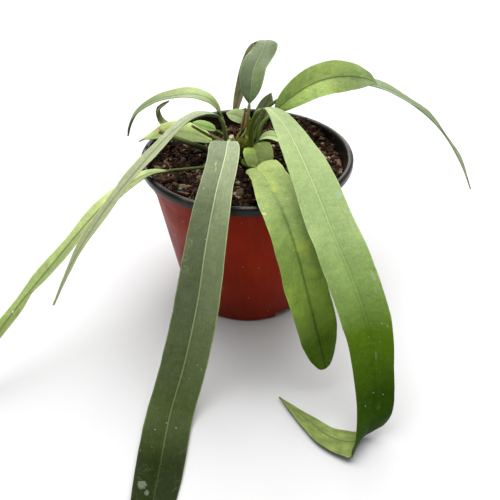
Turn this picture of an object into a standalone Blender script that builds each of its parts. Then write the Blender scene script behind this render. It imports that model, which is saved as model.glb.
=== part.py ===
"""A strap-leaved anthurium (Anthurium vittariifolium) growing in a thin plastic nursery pot.

The pot stands on the surface z = 0 with its axis on Z. Its front is towards -Y. Every leaf is
one solid, a round stalk that runs into a thin ribbed blade, and grows from a short stem, the
crown, that stands in the bark mix. The longest leaves reach the surface and lie along it.
Sizes are in millimetres, and become metres where the meshes are made.
"""

import math
from collections import namedtuple

import bmesh
import bpy
from mathutils import Matrix, Vector, noise

MM = 0.001

# Pot: a 160 mm nursery pot with a rolled lip, a collar under it and a tapered body
POT_HEIGHT = 124.0
RIM_RADIUS = 80.0
LIP_HEIGHT = 6.5
LIP_WIDTH = 4.8
COLLAR_DROP = 18.0
COLLAR_TOP_RADIUS = 76.4
COLLAR_RADIUS = 73.8
BODY_TOP_RADIUS = 72.4
FOOT_RADIUS = 55.0
FOOT_BAND = 5.5
FOOT_STEP = 0.7
WALL = 1.5
FLOOR = 1.8
POT_TURNS = 56

# Drainage: slots through the foot of the wall, and round holes in the floor
SLOT_COUNT = 4
SLOT_WIDTH = 23.0
SLOT_HEIGHT = 5.0
SLOT_DEPTH = 6.0
SLOT_FIRST = -55.0
HOLE_COUNT = 4
HOLE_RADIUS = 4.0
HOLE_CIRCLE = 30.0
HOLE_FIRST = -10.0

# Bark mix: low at the front left, heaped against the back right of the wall
SOIL_LEVEL = 111.0
SOIL_GAP = 0.3
HEAP_AT = (42.0, 48.0)
HEAP_HEIGHT = 13.0
HEAP_SPREAD = 30.0
CHIP_SIZE = 9.0
CHIP_HEIGHT = 3.2
SOIL_RINGS = 15
SOIL_TURNS = 44

# Crown: the short stem that carries every leaf
CROWN_AT = (-4.0, 12.0)
CROWN_BASE = 100.0
CROWN_RADIUS = 8.0
CROWN_SHOULDER = 122.0
CROWN_TOP = 128.0
CROWN_TURNS = 24
SEAT_GAP = 0.3

# Leaf make-up
STALK_STEP = 9.0
BLADE_STEP = 10.0
BEND_STEP = 14.0
EDGE_THICKNESS = 0.6
MID_THICKNESS = 0.8
RIB_DEPTH = 0.9
TIP_HALF_WIDTH = 0.7
BASE_STATIONS = (0.0, 1.2, 4.0)
TIP_STATIONS = (7.0, 3.0, 0.8)

# A leaf grows from its foot, given as the bearing round the crown and the height above the
# surface. Its route is a list of points (out, up, aside, roll): millimetres from the crown's
# axis along the heading, above the surface and to the left of the heading, and the degrees by
# which the upper face leans to the leaf's right. A fifth value is the degrees by which the
# sections swing forward on the right, for a blade that folds on the slant. The blade starts at
# the route point numbered blade_from, counted from 1. Base, peak, tip and blunt shape the
# outline.
Leaf = namedtuple(
    "Leaf",
    "heading foot route blade_from width stalk base peak tip blunt gutter wave columns colour",
    defaults=(1, 24.0, 3.4, 3.0, 0.45, 2.4, 1.0, 10.0, 0.8, 4, "leaf_pale"),
)

LEAVES = {
    "leaf_front_long": Leaf(
        heading=-103,
        foot=(-106, 116),
        route=[
            (24, 136, 0, 0),
            (46, 149, 2, 0),
            (76, 152, 7, 0),
            (104, 142, 8, 0),
            (124, 116, 6, 0),
            (136, 80, 2, 0),
            (148, 28, -8, 0),
            (169, 6, -12, 0),
            (228, 2.5, -3, 0),
            (275, 2.5, 3, 0),
        ],
        blade_from=2,
        width=31.0,
        stalk=4.0,
        base=1.7,
        peak=0.6,
        tip=4.0,
        blunt=0.8,
        colour="leaf_grey_green",
    ),
    "leaf_right_long": Leaf(
        heading=-64,
        foot=(-58, 121),
        route=[
            (18, 147, 0, 0),
            (30, 164, 1, 0),
            (46, 169, 1, 0),
            (68, 164, 1, 0),
            (104, 147, -2, 0),
            (131, 124, -2, 8),
            (147, 105, 1, 20),
            (160, 84, 4.5, 30),
            (170, 64, 6.5, 34),
            (180, 44, 4.5, 34, 5),
            (188, 30, 2, 26, 15),
            (195, 19, -3, 10, 30),
            (199, 11, -10, -30, 45),
            (198, 6, -17, -85, 30),
            (193, 5, -24, -92, 8),
            (184, 4, -30, -87),
            (171, 4, -34, -87),
            (157, 3, -38, -87),
            (142, 2.5, -42, -87),
        ],
        blade_from=2,
        width=31.0,
        stalk=4.4,
        peak=0.4,
        tip=3.0,
        gutter=13.0,
        colour="leaf_light_green",
    ),
    "leaf_front_short": Leaf(
        heading=-72,
        foot=(-88, 114),
        route=[
            (20, 117, -4, 0),
            (36, 124, 0, 0),
            (50, 128, 0, 0),
            (82, 130, -4, 0),
            (110, 127, -7, 0),
            (127, 114, -6, 0),
            (140, 82, -1, 0),
            (149, 23, 11, 0),
        ],
        blade_from=2,
        width=29.0,
        stalk=3.0,
        base=4.0,
        peak=0.5,
        tip=4.0,
        blunt=0.55,
        columns=6,
        colour="leaf_mottled",
    ),
    "leaf_right_broad": Leaf(
        heading=15,
        foot=(5, 120),
        route=[
            (16, 138, 0, 10),
            (27, 148, 0, 40),
            (42, 159, 0, 52),
            (56, 166, 0, 52),
            (72, 169, 0, 52),
            (88, 168, 0, 42),
            (102, 164, 0, 28),
            (109, 160, 0, 15),
        ],
        blade_from=2,
        width=25.0,
        stalk=3.6,
        base=2.0,
        peak=0.58,
        blunt=0.7,
        colour="leaf_mottled",
    ),
    "leaf_right_reaching": Leaf(
        heading=12,
        foot=(42, 122),
        route=[
            (24, 143, 18, 0),
            (44, 151, 22, 0),
            (69, 157, 24, 0),
            (93, 157, 24, 0),
            (124, 149, 20, 0),
            (150, 134, 16, 0),
            (177, 110, 12, 0),
            (201, 76, 8, 0),
            (214, 51, 6, 0),
        ],
        blade_from=2,
        width=18.0,
        stalk=3.4,
        tip=2.2,
        colour="leaf_pale",
    ),
    "leaf_upright": Leaf(
        heading=88,
        foot=(66, 123),
        route=[
            (5, 144, -5, 0),
            (8, 154, -6, 0),
            (16, 161, -7, 0),
            (31, 172, -9, 0),
            (42, 179, -14, 0),
            (55, 186, -18, 0),
            (65, 177, -12, 0),
            (73, 158, -4, 0),
            (78, 135, 4, 0),
            (82, 102, 11, 0),
        ],
        blade_from=2,
        width=20.0,
        stalk=3.2,
        peak=0.22,
        tip=0.95,
        colour="leaf_grey_green",
    ),
    "leaf_left_arching": Leaf(
        heading=177,
        foot=(168, 123),
        route=[
            (15, 149, 0, 0),
            (21, 159, 0, 0),
            (34, 164, 0, 0),
            (52, 162, 0, 0),
            (66, 158, 0, 0),
            (78, 150, 0, 0),
            (85, 139, 0, 0),
            (88, 130, 0, 0),
        ],
        blade_from=1,
        width=17.0,
        stalk=3.2,
        tip=2.4,
        colour="leaf_light_green",
    ),
    "leaf_left_long": Leaf(
        heading=225,
        foot=(216, 120.5),
        route=[
            (21, 153, 0, 0),
            (36, 161, 0, 10),
            (52, 161, 0, 15),
            (68, 156, 0, 15),
            (93, 143, 0, 15),
            (121, 126, 0, 15),
            (146, 106, 0, 15),
            (160, 92, 0, 15),
            (176, 72, 0, 15),
        ],
        blade_from=1,
        width=13.0,
        stalk=3.6,
        tip=2.2,
        colour="leaf_grey_green",
    ),
    "leaf_left_low": Leaf(
        heading=217,
        foot=(231, 114.5),
        route=[
            (35, 116, 0, 0),
            (48, 119, 0, 0),
            (67, 124, 0, 0),
            (83, 127, 0, 0),
            (104, 122, 0, 0),
            (122, 113, 0, 0),
            (160, 86, 0, 0),
            (205, 51, 0, 0),
            (243, 12, 0, 0),
        ],
        blade_from=3,
        width=13.0,
        stalk=2.8,
        tip=4.0,
        blunt=0.8,
        colour="leaf_light_green",
    ),
    "leaf_left_pale": Leaf(
        heading=176,
        foot=(156, 116),
        route=[
            (23, 126, 0, -15),
            (35, 132, 0, -25),
            (47, 134, 0, -25),
            (59, 133, 0, -20),
            (69, 129, 0, -10),
            (76, 127, 0, 0),
            (80, 125, 0, 0),
        ],
        blade_from=1,
        width=18.0,
        stalk=2.8,
        tip=1.8,
        colour="leaf_pale",
    ),
    "leaf_left_folded": Leaf(
        heading=202,
        foot=(186, 121),
        route=[
            (13, 132, -2, -20),
            (20, 139, -2, -25),
            (27, 143, -2, -30),
            (37, 148, -2, -30),
        ],
        blade_from=2,
        width=8.0,
        stalk=2.4,
        gutter=22.0,
        colour="leaf_grey_green",
    ),
    "leaf_back_small": Leaf(
        heading=115,
        foot=(128, 117),
        route=[
            (18, 123, -11, 0),
            (26, 128, -17, 0),
            (32, 131, -14, 0),
            (42, 132, -6, 0),
        ],
        blade_from=2,
        width=13.0,
        stalk=2.2,
        colour="leaf_pale",
    ),
    "leaf_heart": Leaf(
        heading=-50,
        foot=(-34, 116),
        route=[
            (17, 125, 0, 0),
            (26, 127, -3, 0),
            (34, 128, -7, 0),
            (41, 127, -10, 0),
        ],
        blade_from=1,
        width=18.0,
        stalk=2.0,
        base=3.0,
        peak=0.4,
        tip=2.0,
        gutter=14.0,
        colour="leaf_fresh",
    ),
    "leaf_tucked": Leaf(
        heading=-16,
        foot=(-10, 116),
        route=[
            (14, 129, 0, 0),
            (22, 134, 0, 0),
            (34, 132, 0, 0),
            (52, 127, 0, 0),
        ],
        blade_from=1,
        width=13.0,
        stalk=2.2,
        colour="leaf_pale",
    ),
    "leaf_left_curled": Leaf(
        heading=158,
        foot=(140, 120),
        route=[
            (35, 129, 0, 0),
            (58, 128, 0, 0),
            (70, 132, 0, 10),
            (71, 142, 0, 20),
            (60, 150, 0, 20),
        ],
        blade_from=2,
        width=9.0,
        stalk=2.2,
        gutter=12.0,
        colour="leaf_pale",
    ),
    "leaf_back_dark": Leaf(
        heading=68,
        foot=(80, 116),
        route=[
            (20, 124, 0, 0),
            (34, 130, 0, 0),
            (50, 134, 0, 0),
            (66, 140, 0, 0),
        ],
        blade_from=2,
        width=12.0,
        stalk=2.2,
        colour="leaf_dark",
    ),
    "sheath_upright": Leaf(
        heading=100,
        foot=(112, 122),
        route=[
            (10, 131, -1, 0),
            (10, 140, -3, 0),
            (10, 149, -4, 0),
        ],
        blade_from=1,
        width=3.4,
        stalk=2.0,
        tip=1.5,
        gutter=25.0,
        wave=0.0,
        colour="withered",
    ),
}

# Bare stalks, with the same foot and route, the thickness at foot and end, and a material
Stalk = namedtuple("Stalk", "heading foot route thickness colour")

STALKS = {
    "stalk_cut_long": Stalk(
        heading=199,
        foot=(205, 114.5),
        route=[(27, 124, 0, 0), (41, 132, 0, 0), (51, 138, 0, 0), (63, 146, 0, 0)],
        thickness=(4.0, 3.8),
        colour="stalk_green",
    ),
    "stalk_withered": Stalk(
        heading=197,
        foot=(182, 114),
        route=[(16, 127, 0, 0), (28, 137, 0, 0), (38, 145, 0, 0)],
        thickness=(3.0, 1.8),
        colour="withered",
    ),
    "stalk_stub": Stalk(
        heading=240,
        foot=(236, 125),
        route=[(12, 130, 0, 0), (15, 137, 0, 0)],
        thickness=(3.6, 3.4),
        colour="stub_pale",
    ),
}

# Base colour, roughness and metallic value of each material
FINISHES = {
    "pot_plastic": ((0.26, 0.045, 0.020), 0.45, 0.0),
    "bark_mix": ((0.055, 0.030, 0.018), 0.95, 0.0),
    "crown_stem": ((0.090, 0.095, 0.030), 0.75, 0.0),
    "leaf_grey_green": ((0.10, 0.17, 0.08), 0.50, 0.0),
    "leaf_light_green": ((0.20, 0.33, 0.10), 0.45, 0.0),
    "leaf_mottled": ((0.18, 0.30, 0.06), 0.45, 0.0),
    "leaf_pale": ((0.30, 0.42, 0.18), 0.50, 0.0),
    "leaf_fresh": ((0.24, 0.36, 0.12), 0.45, 0.0),
    "leaf_dark": ((0.05, 0.10, 0.03), 0.50, 0.0),
    "stalk_green": ((0.08, 0.12, 0.03), 0.50, 0.0),
    "withered": ((0.22, 0.14, 0.03), 0.80, 0.0),
    "stub_pale": ((0.45, 0.42, 0.20), 0.60, 0.0),
}


def material(name):
    """A Principled material made once for each finish."""
    if name in bpy.data.materials:
        return bpy.data.materials[name]
    colour, roughness, metallic = FINISHES[name]
    made = bpy.data.materials.new(name)
    made.use_nodes = True
    shader = made.node_tree.nodes["Principled BSDF"]
    shader.inputs["Base Color"].default_value = (*colour, 1.0)
    shader.inputs["Roughness"].default_value = roughness
    shader.inputs["Metallic"].default_value = metallic
    return made


def collection(name):
    """A collection in the scene, made once."""
    if name not in bpy.data.collections:
        bpy.context.scene.collection.children.link(bpy.data.collections.new(name))
    return bpy.data.collections[name]


def add_object(name, bm, finish, group="anthurium_in_pot"):
    """Turn a bmesh in millimetres into a smooth-shaded object in metres."""
    bmesh.ops.scale(bm, vec=(MM, MM, MM), verts=bm.verts)
    mesh = bpy.data.meshes.new(name)
    bm.to_mesh(mesh)
    bm.free()
    made = bpy.data.objects.new(name, mesh)
    collection(group).objects.link(made)
    if finish:
        mesh.materials.append(material(finish))
    mesh.shade_smooth()
    mesh.set_sharp_from_angle(angle=math.radians(40))
    return made


def turned(profile, turns):
    """Spin a profile of (radius, height) points, given from the top of the axis down the
    outer side to its foot, into a closed body round Z."""
    bm = bmesh.new()
    points = [bm.verts.new((radius, 0.0, height)) for radius, height in profile]
    edges = [bm.edges.new(pair) for pair in zip(points, points[1:])]
    bmesh.ops.spin(
        bm,
        geom=points + edges,
        axis=(0.0, 0.0, 1.0),
        cent=(0.0, 0.0, 0.0),
        steps=turns,
        angle=math.tau,
        use_merge=True,
    )
    bmesh.ops.remove_doubles(bm, verts=bm.verts, dist=0.01)
    bmesh.ops.recalc_face_normals(bm, faces=bm.faces)
    return bm


def arc(centre, radius, start, end, steps):
    """Points on an arc in the profile's plane, angles in degrees from the radius axis."""
    angles = [math.radians(start + (end - start) * i / steps) for i in range(steps + 1)]
    return [(centre[0] + radius * math.cos(a), centre[1] + radius * math.sin(a)) for a in angles]


def wall_radius(height):
    """Outer radius of the pot's tapered body below the collar."""
    share = height / (POT_HEIGHT - COLLAR_DROP)
    return FOOT_RADIUS + (BODY_TOP_RADIUS - FOOT_RADIUS) * share


def pot_profile():
    """The pot's closed section, from the middle of the floor up the inside and down outside."""
    lip_arc = LIP_WIDTH / 2
    lip_top = POT_HEIGHT - lip_arc
    collar_foot = POT_HEIGHT - COLLAR_DROP
    inside = [
        (0.0, FLOOR),
        (FOOT_RADIUS - WALL - 3.0, FLOOR),
        (FOOT_RADIUS - WALL, FLOOR + 3.0),
        (wall_radius(collar_foot - 2.0) - WALL, collar_foot - 2.0),
        (COLLAR_RADIUS - WALL, collar_foot + 1.0),
        (RIM_RADIUS - LIP_WIDTH, lip_top - 3.0),
    ]
    lip = arc((RIM_RADIUS - lip_arc, lip_top), lip_arc, 180.0, 0.0, 4)
    outside = [
        (RIM_RADIUS, POT_HEIGHT - LIP_HEIGHT),
        (COLLAR_TOP_RADIUS, POT_HEIGHT - LIP_HEIGHT),
        (COLLAR_RADIUS, collar_foot),
        (BODY_TOP_RADIUS, collar_foot - 0.6),
        (wall_radius(FOOT_BAND), FOOT_BAND),
        (wall_radius(FOOT_BAND) - FOOT_STEP, FOOT_BAND - 0.6),
        (FOOT_RADIUS - 0.6, 1.2),
        (FOOT_RADIUS - 1.8, 0.0),
        (0.0, 0.0),
    ]
    return inside + lip + outside


def cutter(name, bm):
    """A wire-displayed object that other objects are cut with."""
    made = add_object(name, bm, None, "cutters")
    made.hide_render = True
    made.display_type = "WIRE"
    return made


def drain_cutter():
    """The slots at the foot of the wall and the round holes in the floor, in one cutter."""
    bm = bmesh.new()
    for i in range(SLOT_COUNT):
        bearing = math.radians(SLOT_FIRST + 360.0 * i / SLOT_COUNT)
        turn = Matrix.Rotation(bearing, 4, "Z")
        shift = Matrix.Translation((FOOT_RADIUS, 0.0, SLOT_HEIGHT / 2 - 1.0))
        size = Matrix.Diagonal((SLOT_DEPTH * 2, SLOT_WIDTH, SLOT_HEIGHT + 2.0, 1.0))
        bmesh.ops.create_cube(bm, size=1.0, matrix=turn @ shift @ size)
    for i in range(HOLE_COUNT):
        bearing = math.radians(HOLE_FIRST + 360.0 * i / HOLE_COUNT)
        at = Vector((math.cos(bearing), math.sin(bearing), 0.0)) * HOLE_CIRCLE
        bmesh.ops.create_cone(
            bm,
            cap_ends=True,
            segments=16,
            radius1=HOLE_RADIUS,
            radius2=HOLE_RADIUS,
            depth=FLOOR * 4,
            matrix=Matrix.Translation(at),
        )
    return cutter("drain_cutter", bm)


def cut(body, tool):
    """Cut one object with another by a live Boolean."""
    modifier = body.modifiers.new("cut", "BOOLEAN")
    modifier.operation = "DIFFERENCE"
    modifier.object = tool
    modifier.solver = "EXACT"


def build_pot():
    """The nursery pot with its drainage."""
    pot = add_object("pot", turned(pot_profile(), POT_TURNS), "pot_plastic")
    cut(pot, drain_cutter())


def soil_height(x, y):
    """Height of the bark mix: a level bed, a heap at the back right, and chips."""
    away = math.hypot(x - HEAP_AT[0], y - HEAP_AT[1])
    heap = HEAP_HEIGHT * math.exp(-((away / HEAP_SPREAD) ** 2))
    distances, _ = noise.voronoi(Vector((x, y, 0.0)) / CHIP_SIZE)
    chips = CHIP_HEIGHT * (0.45 - distances[0])
    near_crown = math.hypot(x - CROWN_AT[0], y - CROWN_AT[1])
    return SOIL_LEVEL + heap + chips * min(1.0, near_crown / 25.0)


def inner_radius(height):
    """Inner radius of the pot at a height above its floor."""
    collar_foot = POT_HEIGHT - COLLAR_DROP
    if height < collar_foot:
        return wall_radius(height) - WALL
    share = (height - collar_foot) / (POT_HEIGHT - LIP_WIDTH / 2 - 3.0 - collar_foot)
    top = RIM_RADIUS - LIP_WIDTH
    return COLLAR_RADIUS - WALL + (top - COLLAR_RADIUS + WALL) * min(1.0, share)


def build_soil():
    """The bark mix that fills the pot, with a plain hole for the crown."""
    surface = SOIL_LEVEL
    floor = FLOOR + SOIL_GAP
    body_top = POT_HEIGHT - COLLAR_DROP - 3.0
    edge = inner_radius(surface) - SOIL_GAP
    rings = [(edge * i / SOIL_RINGS, surface) for i in range(SOIL_RINGS + 1)]
    sides = [
        (inner_radius(body_top) - SOIL_GAP - 0.2, body_top),
        (FOOT_RADIUS - WALL - SOIL_GAP - 0.2, FLOOR + 4.0),
        (FOOT_RADIUS - WALL - 4.0, floor),
        (0.0, floor),
    ]
    bm = turned(rings + sides, SOIL_TURNS)
    for vert in bm.verts:
        if vert.co.z > surface - 0.01:
            top = soil_height(vert.co.x, vert.co.y)
            rim = inner_radius(top) - SOIL_GAP - 0.4
            from_axis = math.hypot(vert.co.x, vert.co.y)
            if from_axis > edge - 0.01:
                vert.co.x *= rim / from_axis
                vert.co.y *= rim / from_axis
            vert.co.z = top
    soil = add_object("soil", bm, "bark_mix")
    hole = bmesh.new()
    bmesh.ops.create_cone(
        hole,
        cap_ends=True,
        segments=CROWN_TURNS,
        radius1=CROWN_RADIUS + SEAT_GAP,
        radius2=CROWN_RADIUS + SEAT_GAP,
        depth=40.0,
        matrix=Matrix.Translation((*CROWN_AT, CROWN_BASE - SEAT_GAP + 20.0)),
    )
    cut(soil, cutter("crown_hole_cutter", hole))


def build_crown():
    """The stem between soil and leaves, a barrel with a domed top."""
    profile = [
        (0.0, CROWN_TOP),
        (CROWN_RADIUS * 0.45, CROWN_TOP - 0.6),
        (CROWN_RADIUS * 0.8, CROWN_TOP - 2.6),
        (CROWN_RADIUS - 0.3, CROWN_SHOULDER),
        (CROWN_RADIUS, CROWN_BASE + 1.5),
        (CROWN_RADIUS - 1.5, CROWN_BASE),
        (0.0, CROWN_BASE),
    ]
    bm = turned(profile, CROWN_TURNS)
    bmesh.ops.translate(bm, vec=(*CROWN_AT, 0.0), verts=bm.verts)
    add_object("crown", bm, "crown_stem")


def heading_frame(bearing):
    """The outward and leftward unit vectors of a bearing in degrees."""
    a = math.radians(bearing)
    return Vector((math.cos(a), math.sin(a), 0.0)), Vector((-math.sin(a), math.cos(a), 0.0))


def crown_radius(height):
    """Radius of the crown where a stalk meets it."""
    if height <= CROWN_SHOULDER:
        return CROWN_RADIUS
    share = (height - CROWN_SHOULDER) / (CROWN_TOP - 2.6 - CROWN_SHOULDER)
    return CROWN_RADIUS - 0.3 - (CROWN_RADIUS * 0.2 - 0.3) * min(1.0, share)


def route_points(spec, stalk_radius):
    """The foot on the crown and the route's own points, each as (point, roll, skew)."""
    axis = Vector((*CROWN_AT, 0.0))
    bearing, height = spec.foot
    foot_out, _ = heading_frame(bearing)
    out, aside = heading_frame(spec.heading)
    first = spec.route[0]
    target = axis + out * first[0] + aside * first[2] + Vector((0.0, 0.0, first[1]))
    seat = axis + Vector((0.0, 0.0, height)) + foot_out * (crown_radius(height) + SEAT_GAP)
    leaving = (foot_out + (target - seat).normalized()).normalized()
    start = seat + foot_out * (stalk_radius * foot_out.cross(leaving).length)
    lean = start + leaving * 3.5
    points = [(start, first[3], 0.0), (lean, first[3], 0.0)]
    for along, up, left, roll, *skew in spec.route:
        point = axis + out * along + aside * left + Vector((0.0, 0.0, up))
        points.append((point, roll, skew[0] if skew else 0.0))
    return points


def curve_point(points, i, t):
    """A point between points i and i + 1 of a smooth curve through them all."""
    p1, p2 = points[i], points[i + 1]
    p0 = points[i - 1] if i > 0 else p1 * 2 - p2
    p3 = points[i + 2] if i + 2 < len(points) else p2 * 2 - p1
    k0 = max((p1 - p0).length, 1e-6) ** 0.5
    k1 = max((p2 - p1).length, 1e-6) ** 0.5
    k2 = max((p3 - p2).length, 1e-6) ** 0.5
    m1 = (p2 - p1) + ((p1 - p0) / k0 - (p2 - p0) / (k0 + k1)) * k1
    m2 = (p2 - p1) + ((p3 - p2) / k2 - (p3 - p1) / (k1 + k2)) * k1
    a = (p1 - p2) * 2 + m1 + m2
    b = (p1 - p2) * -3 - m1 * 2 - m2
    return a * t**3 + b * t**2 + m1 * t + p1


class Route:
    """A smooth curve read by length, with a frame that turns as little as it can."""

    SAMPLES = 12

    def __init__(self, rows, heading):
        points = [row[0] for row in rows]
        self.places = []
        self.knots = [0.0]
        self.lengths = [0.0]
        for i in range(len(points) - 1):
            for j in range(self.SAMPLES):
                self.places.append(curve_point(points, i, j / self.SAMPLES))
        self.places.append(points[-1])
        for a, b in zip(self.places, self.places[1:]):
            self.lengths.append(self.lengths[-1] + (b - a).length)
        self.knots = [self.lengths[i * self.SAMPLES] for i in range(len(points))]
        self.rolls = [row[1] for row in rows]
        self.skews = [row[2] for row in rows]
        self.length = self.lengths[-1]
        self.sides = self.transport(heading)

    def tangent(self, i):
        """Direction of travel at sample i."""
        lo, hi = max(i - 1, 0), min(i + 1, len(self.places) - 1)
        return (self.places[hi] - self.places[lo]).normalized()

    def transport(self, heading):
        """The rightward side at every sample, carried along the curve without twist."""
        _, left = heading_frame(heading)
        side = -left
        sides = []
        for i in range(len(self.places)):
            along = self.tangent(i)
            side = (side - along * side.dot(along)).normalized()
            sides.append(side)
        return sides

    def eased(self, values, s):
        """A value at length s, eased between those of the route's own points."""
        for i in range(len(self.knots) - 1):
            if s <= self.knots[i + 1] or i == len(self.knots) - 2:
                span = max(self.knots[i + 1] - self.knots[i], 1e-6)
                t = min(1.0, max(0.0, (s - self.knots[i]) / span))
                ease = t * t * (3.0 - 2.0 * t)
                return values[i] + (values[i + 1] - values[i]) * ease
        return values[-1]

    def frame(self, s):
        """Place, direction, side and upward normal at length s."""
        i = 0
        while i < len(self.lengths) - 2 and self.lengths[i + 1] < s:
            i += 1
        span = max(self.lengths[i + 1] - self.lengths[i], 1e-6)
        t = min(1.0, max(0.0, (s - self.lengths[i]) / span))
        place = self.places[i].lerp(self.places[i + 1], t)
        along = self.tangent(i).lerp(self.tangent(i + 1), t).normalized()
        side = self.sides[i].lerp(self.sides[i + 1], t)
        side = (side - along * side.dot(along)).normalized()
        normal = side.cross(along)
        turn = Matrix.Rotation(math.radians(self.eased(self.rolls, s)), 3, along)
        return place, along, turn @ side, turn @ normal


def outline(share, base, peak, tip, blunt):
    """Half width of a blade as a share of its greatest, 0 at its base and 1 at its tip."""
    if share < peak:
        return max(0.0, 1.0 - (1.0 - share / peak) ** base) ** 0.5
    return max(0.0, 1.0 - ((share - peak) / (1.0 - peak)) ** tip) ** blunt


def stations(route, start, end, step, first=(0.0,), last=(0.0,)):
    """Lengths along a stretch: given ones at both ends, and closer ones where it bends."""
    lo, hi = start + first[-1], end - last[0]
    marks = [lo]
    s = lo
    while s < hi:
        turned_by = math.degrees(route.frame(marks[-1])[1].angle(route.frame(s)[1]))
        if s - marks[-1] >= step or turned_by >= BEND_STEP:
            marks.append(s)
        s += 0.5
    if hi - marks[-1] < step * 0.35 and len(marks) > 1:
        marks.pop()
    head = [start + d for d in first[:-1]]
    tail = [end - d for d in last]
    return head + marks + tail


def stalk_ring(radius, columns):
    """A round section with the same corners as a blade's: the top row, then the bottom row."""
    corners = columns + 1
    step = math.pi / corners
    top = [-math.pi / 2 + step * (k + 0.5) for k in range(corners)]
    bottom = [math.pi / 2 + step * (k + 0.5) for k in range(corners)]
    return [(radius * math.sin(a), radius * math.cos(a)) for a in top + bottom]


def blade_ring(spec, half, share, phase):
    """A blade's section as (aside, up) corners: a shallow gutter over a midrib."""
    rise = math.tan(math.radians(spec.gutter))
    top = []
    bottom = []
    for k in range(spec.columns + 1):
        u = 2.0 * k / spec.columns - 1.0
        wave = spec.wave * math.sin(phase + (0.9 if u > 0 else 0.0)) * u * u
        lift = half * rise * abs(u) + wave * min(1.0, half / 6.0)
        thick = MID_THICKNESS + (EDGE_THICKNESS - MID_THICKNESS) * abs(u)
        rib = RIB_DEPTH * (1.0 - 0.6 * share) if abs(u) < 0.01 else 0.0
        top.append((half * u, lift))
        bottom.append((half * u, lift - thick - rib))
    return top + bottom[::-1]


def loft(bm, rings):
    """Join rings of corners by triangles that split alike on both faces, and cap the ends."""
    rows = [[bm.verts.new(point) for point in ring] for ring in rings]
    count = len(rows[0])
    half = count // 2
    for a, b in zip(rows, rows[1:]):
        for k in range(count):
            n = (k + 1) % count
            if k < half:
                bm.faces.new((a[k], a[n], b[n]))
                bm.faces.new((a[k], b[n], b[k]))
            else:
                bm.faces.new((a[k], a[n], b[k]))
                bm.faces.new((a[n], b[n], b[k]))
    for row in (rows[0], rows[-1]):
        for k in range(half - 1):
            low, high = row[count - 1 - k], row[count - 2 - k]
            bm.faces.new((row[k], row[k + 1], high))
            bm.faces.new((row[k], high, low))
    bmesh.ops.recalc_face_normals(bm, faces=bm.faces)


def placed(route, s, ring):
    """A section's corners set at length s of a route."""
    place, along, side, normal = route.frame(s)
    swing = along * math.tan(math.radians(route.eased(route.skews, s)))
    return [place + (side + swing) * x + normal * y for x, y in ring]


def build_leaf(name, spec):
    """One leaf: a round stalk that runs into a ribbed blade."""
    radius = spec.stalk / 2
    route = Route(route_points(spec, radius), spec.heading)
    joint = route.knots[spec.blade_from + 1]
    rings = []
    for s in stations(route, 0.0, joint - 2.0, STALK_STEP):
        ring = stalk_ring(radius * (1.0 - 0.25 * s / joint), spec.columns)
        rings.append(placed(route, s, ring))
    blade = route.length - joint
    for s in stations(route, joint, route.length, BLADE_STEP, BASE_STATIONS, TIP_STATIONS):
        share = (s - joint) / blade
        half = spec.width / 2 * outline(
            max(share, 0.004), spec.base, spec.peak, spec.tip, spec.blunt
        )
        ring = blade_ring(spec, max(half, TIP_HALF_WIDTH), share, s / 9.0)
        rings.append(placed(route, s, ring))
    bm = bmesh.new()
    loft(bm, rings)
    add_object(name, bm, spec.colour)


def build_stalk(name, spec):
    """A bare stalk, cut or withered at its end."""
    thick, thin = spec.thickness
    route = Route(route_points(spec, thick / 2), spec.heading)
    rings = []
    for s in stations(route, 0.0, route.length, STALK_STEP):
        radius = (thick + (thin - thick) * s / route.length) / 2
        rings.append(placed(route, s, stalk_ring(radius, 4)))
    bm = bmesh.new()
    loft(bm, rings)
    add_object(name, bm, spec.colour)


def main():
    """Clear the scene and build every piece."""
    for old in list(bpy.data.objects):
        bpy.data.objects.remove(old)
    build_pot()
    build_soil()
    build_crown()
    for name, spec in LEAVES.items():
        build_leaf(name, spec)
    for name, spec in STALKS.items():
        build_stalk(name, spec)


main()
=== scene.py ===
"""A strap-leaved anthurium (Anthurium vittariifolium) in its nursery pot, finished in detail.

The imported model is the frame: each piece made here takes the place of one of its solids and
keeps that solid's route and size. Sizes are in millimetres, and become metres where a piece
is made. The front of the pot is towards -Y.
"""

import math
import random
from collections import namedtuple

import bmesh
import bpy
from mathutils import Matrix, Vector, noise


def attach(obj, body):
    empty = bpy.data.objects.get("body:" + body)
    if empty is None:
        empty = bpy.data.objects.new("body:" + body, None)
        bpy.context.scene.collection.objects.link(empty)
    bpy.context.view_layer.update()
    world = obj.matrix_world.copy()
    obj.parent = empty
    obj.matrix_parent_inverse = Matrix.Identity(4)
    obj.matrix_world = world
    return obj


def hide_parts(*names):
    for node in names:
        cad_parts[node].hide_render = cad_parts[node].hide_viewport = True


bl_info = {
    "name": "Strap-leaved anthurium",
    "version": (1, 0, 0),
    "blender": (4, 5, 0),
    "location": "3D View > Sidebar > Anthurium",
    "description": "A potted anthurium with long ribbed strap leaves, bark mix and a nursery pot",
    "category": "Add Mesh",
}

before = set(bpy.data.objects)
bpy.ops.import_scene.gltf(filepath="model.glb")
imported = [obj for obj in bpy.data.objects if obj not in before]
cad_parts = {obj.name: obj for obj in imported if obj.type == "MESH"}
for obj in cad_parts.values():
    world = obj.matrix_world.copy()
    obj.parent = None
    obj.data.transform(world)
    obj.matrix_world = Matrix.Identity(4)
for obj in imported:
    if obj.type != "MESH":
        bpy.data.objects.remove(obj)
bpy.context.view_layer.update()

MM = 0.001

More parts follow.
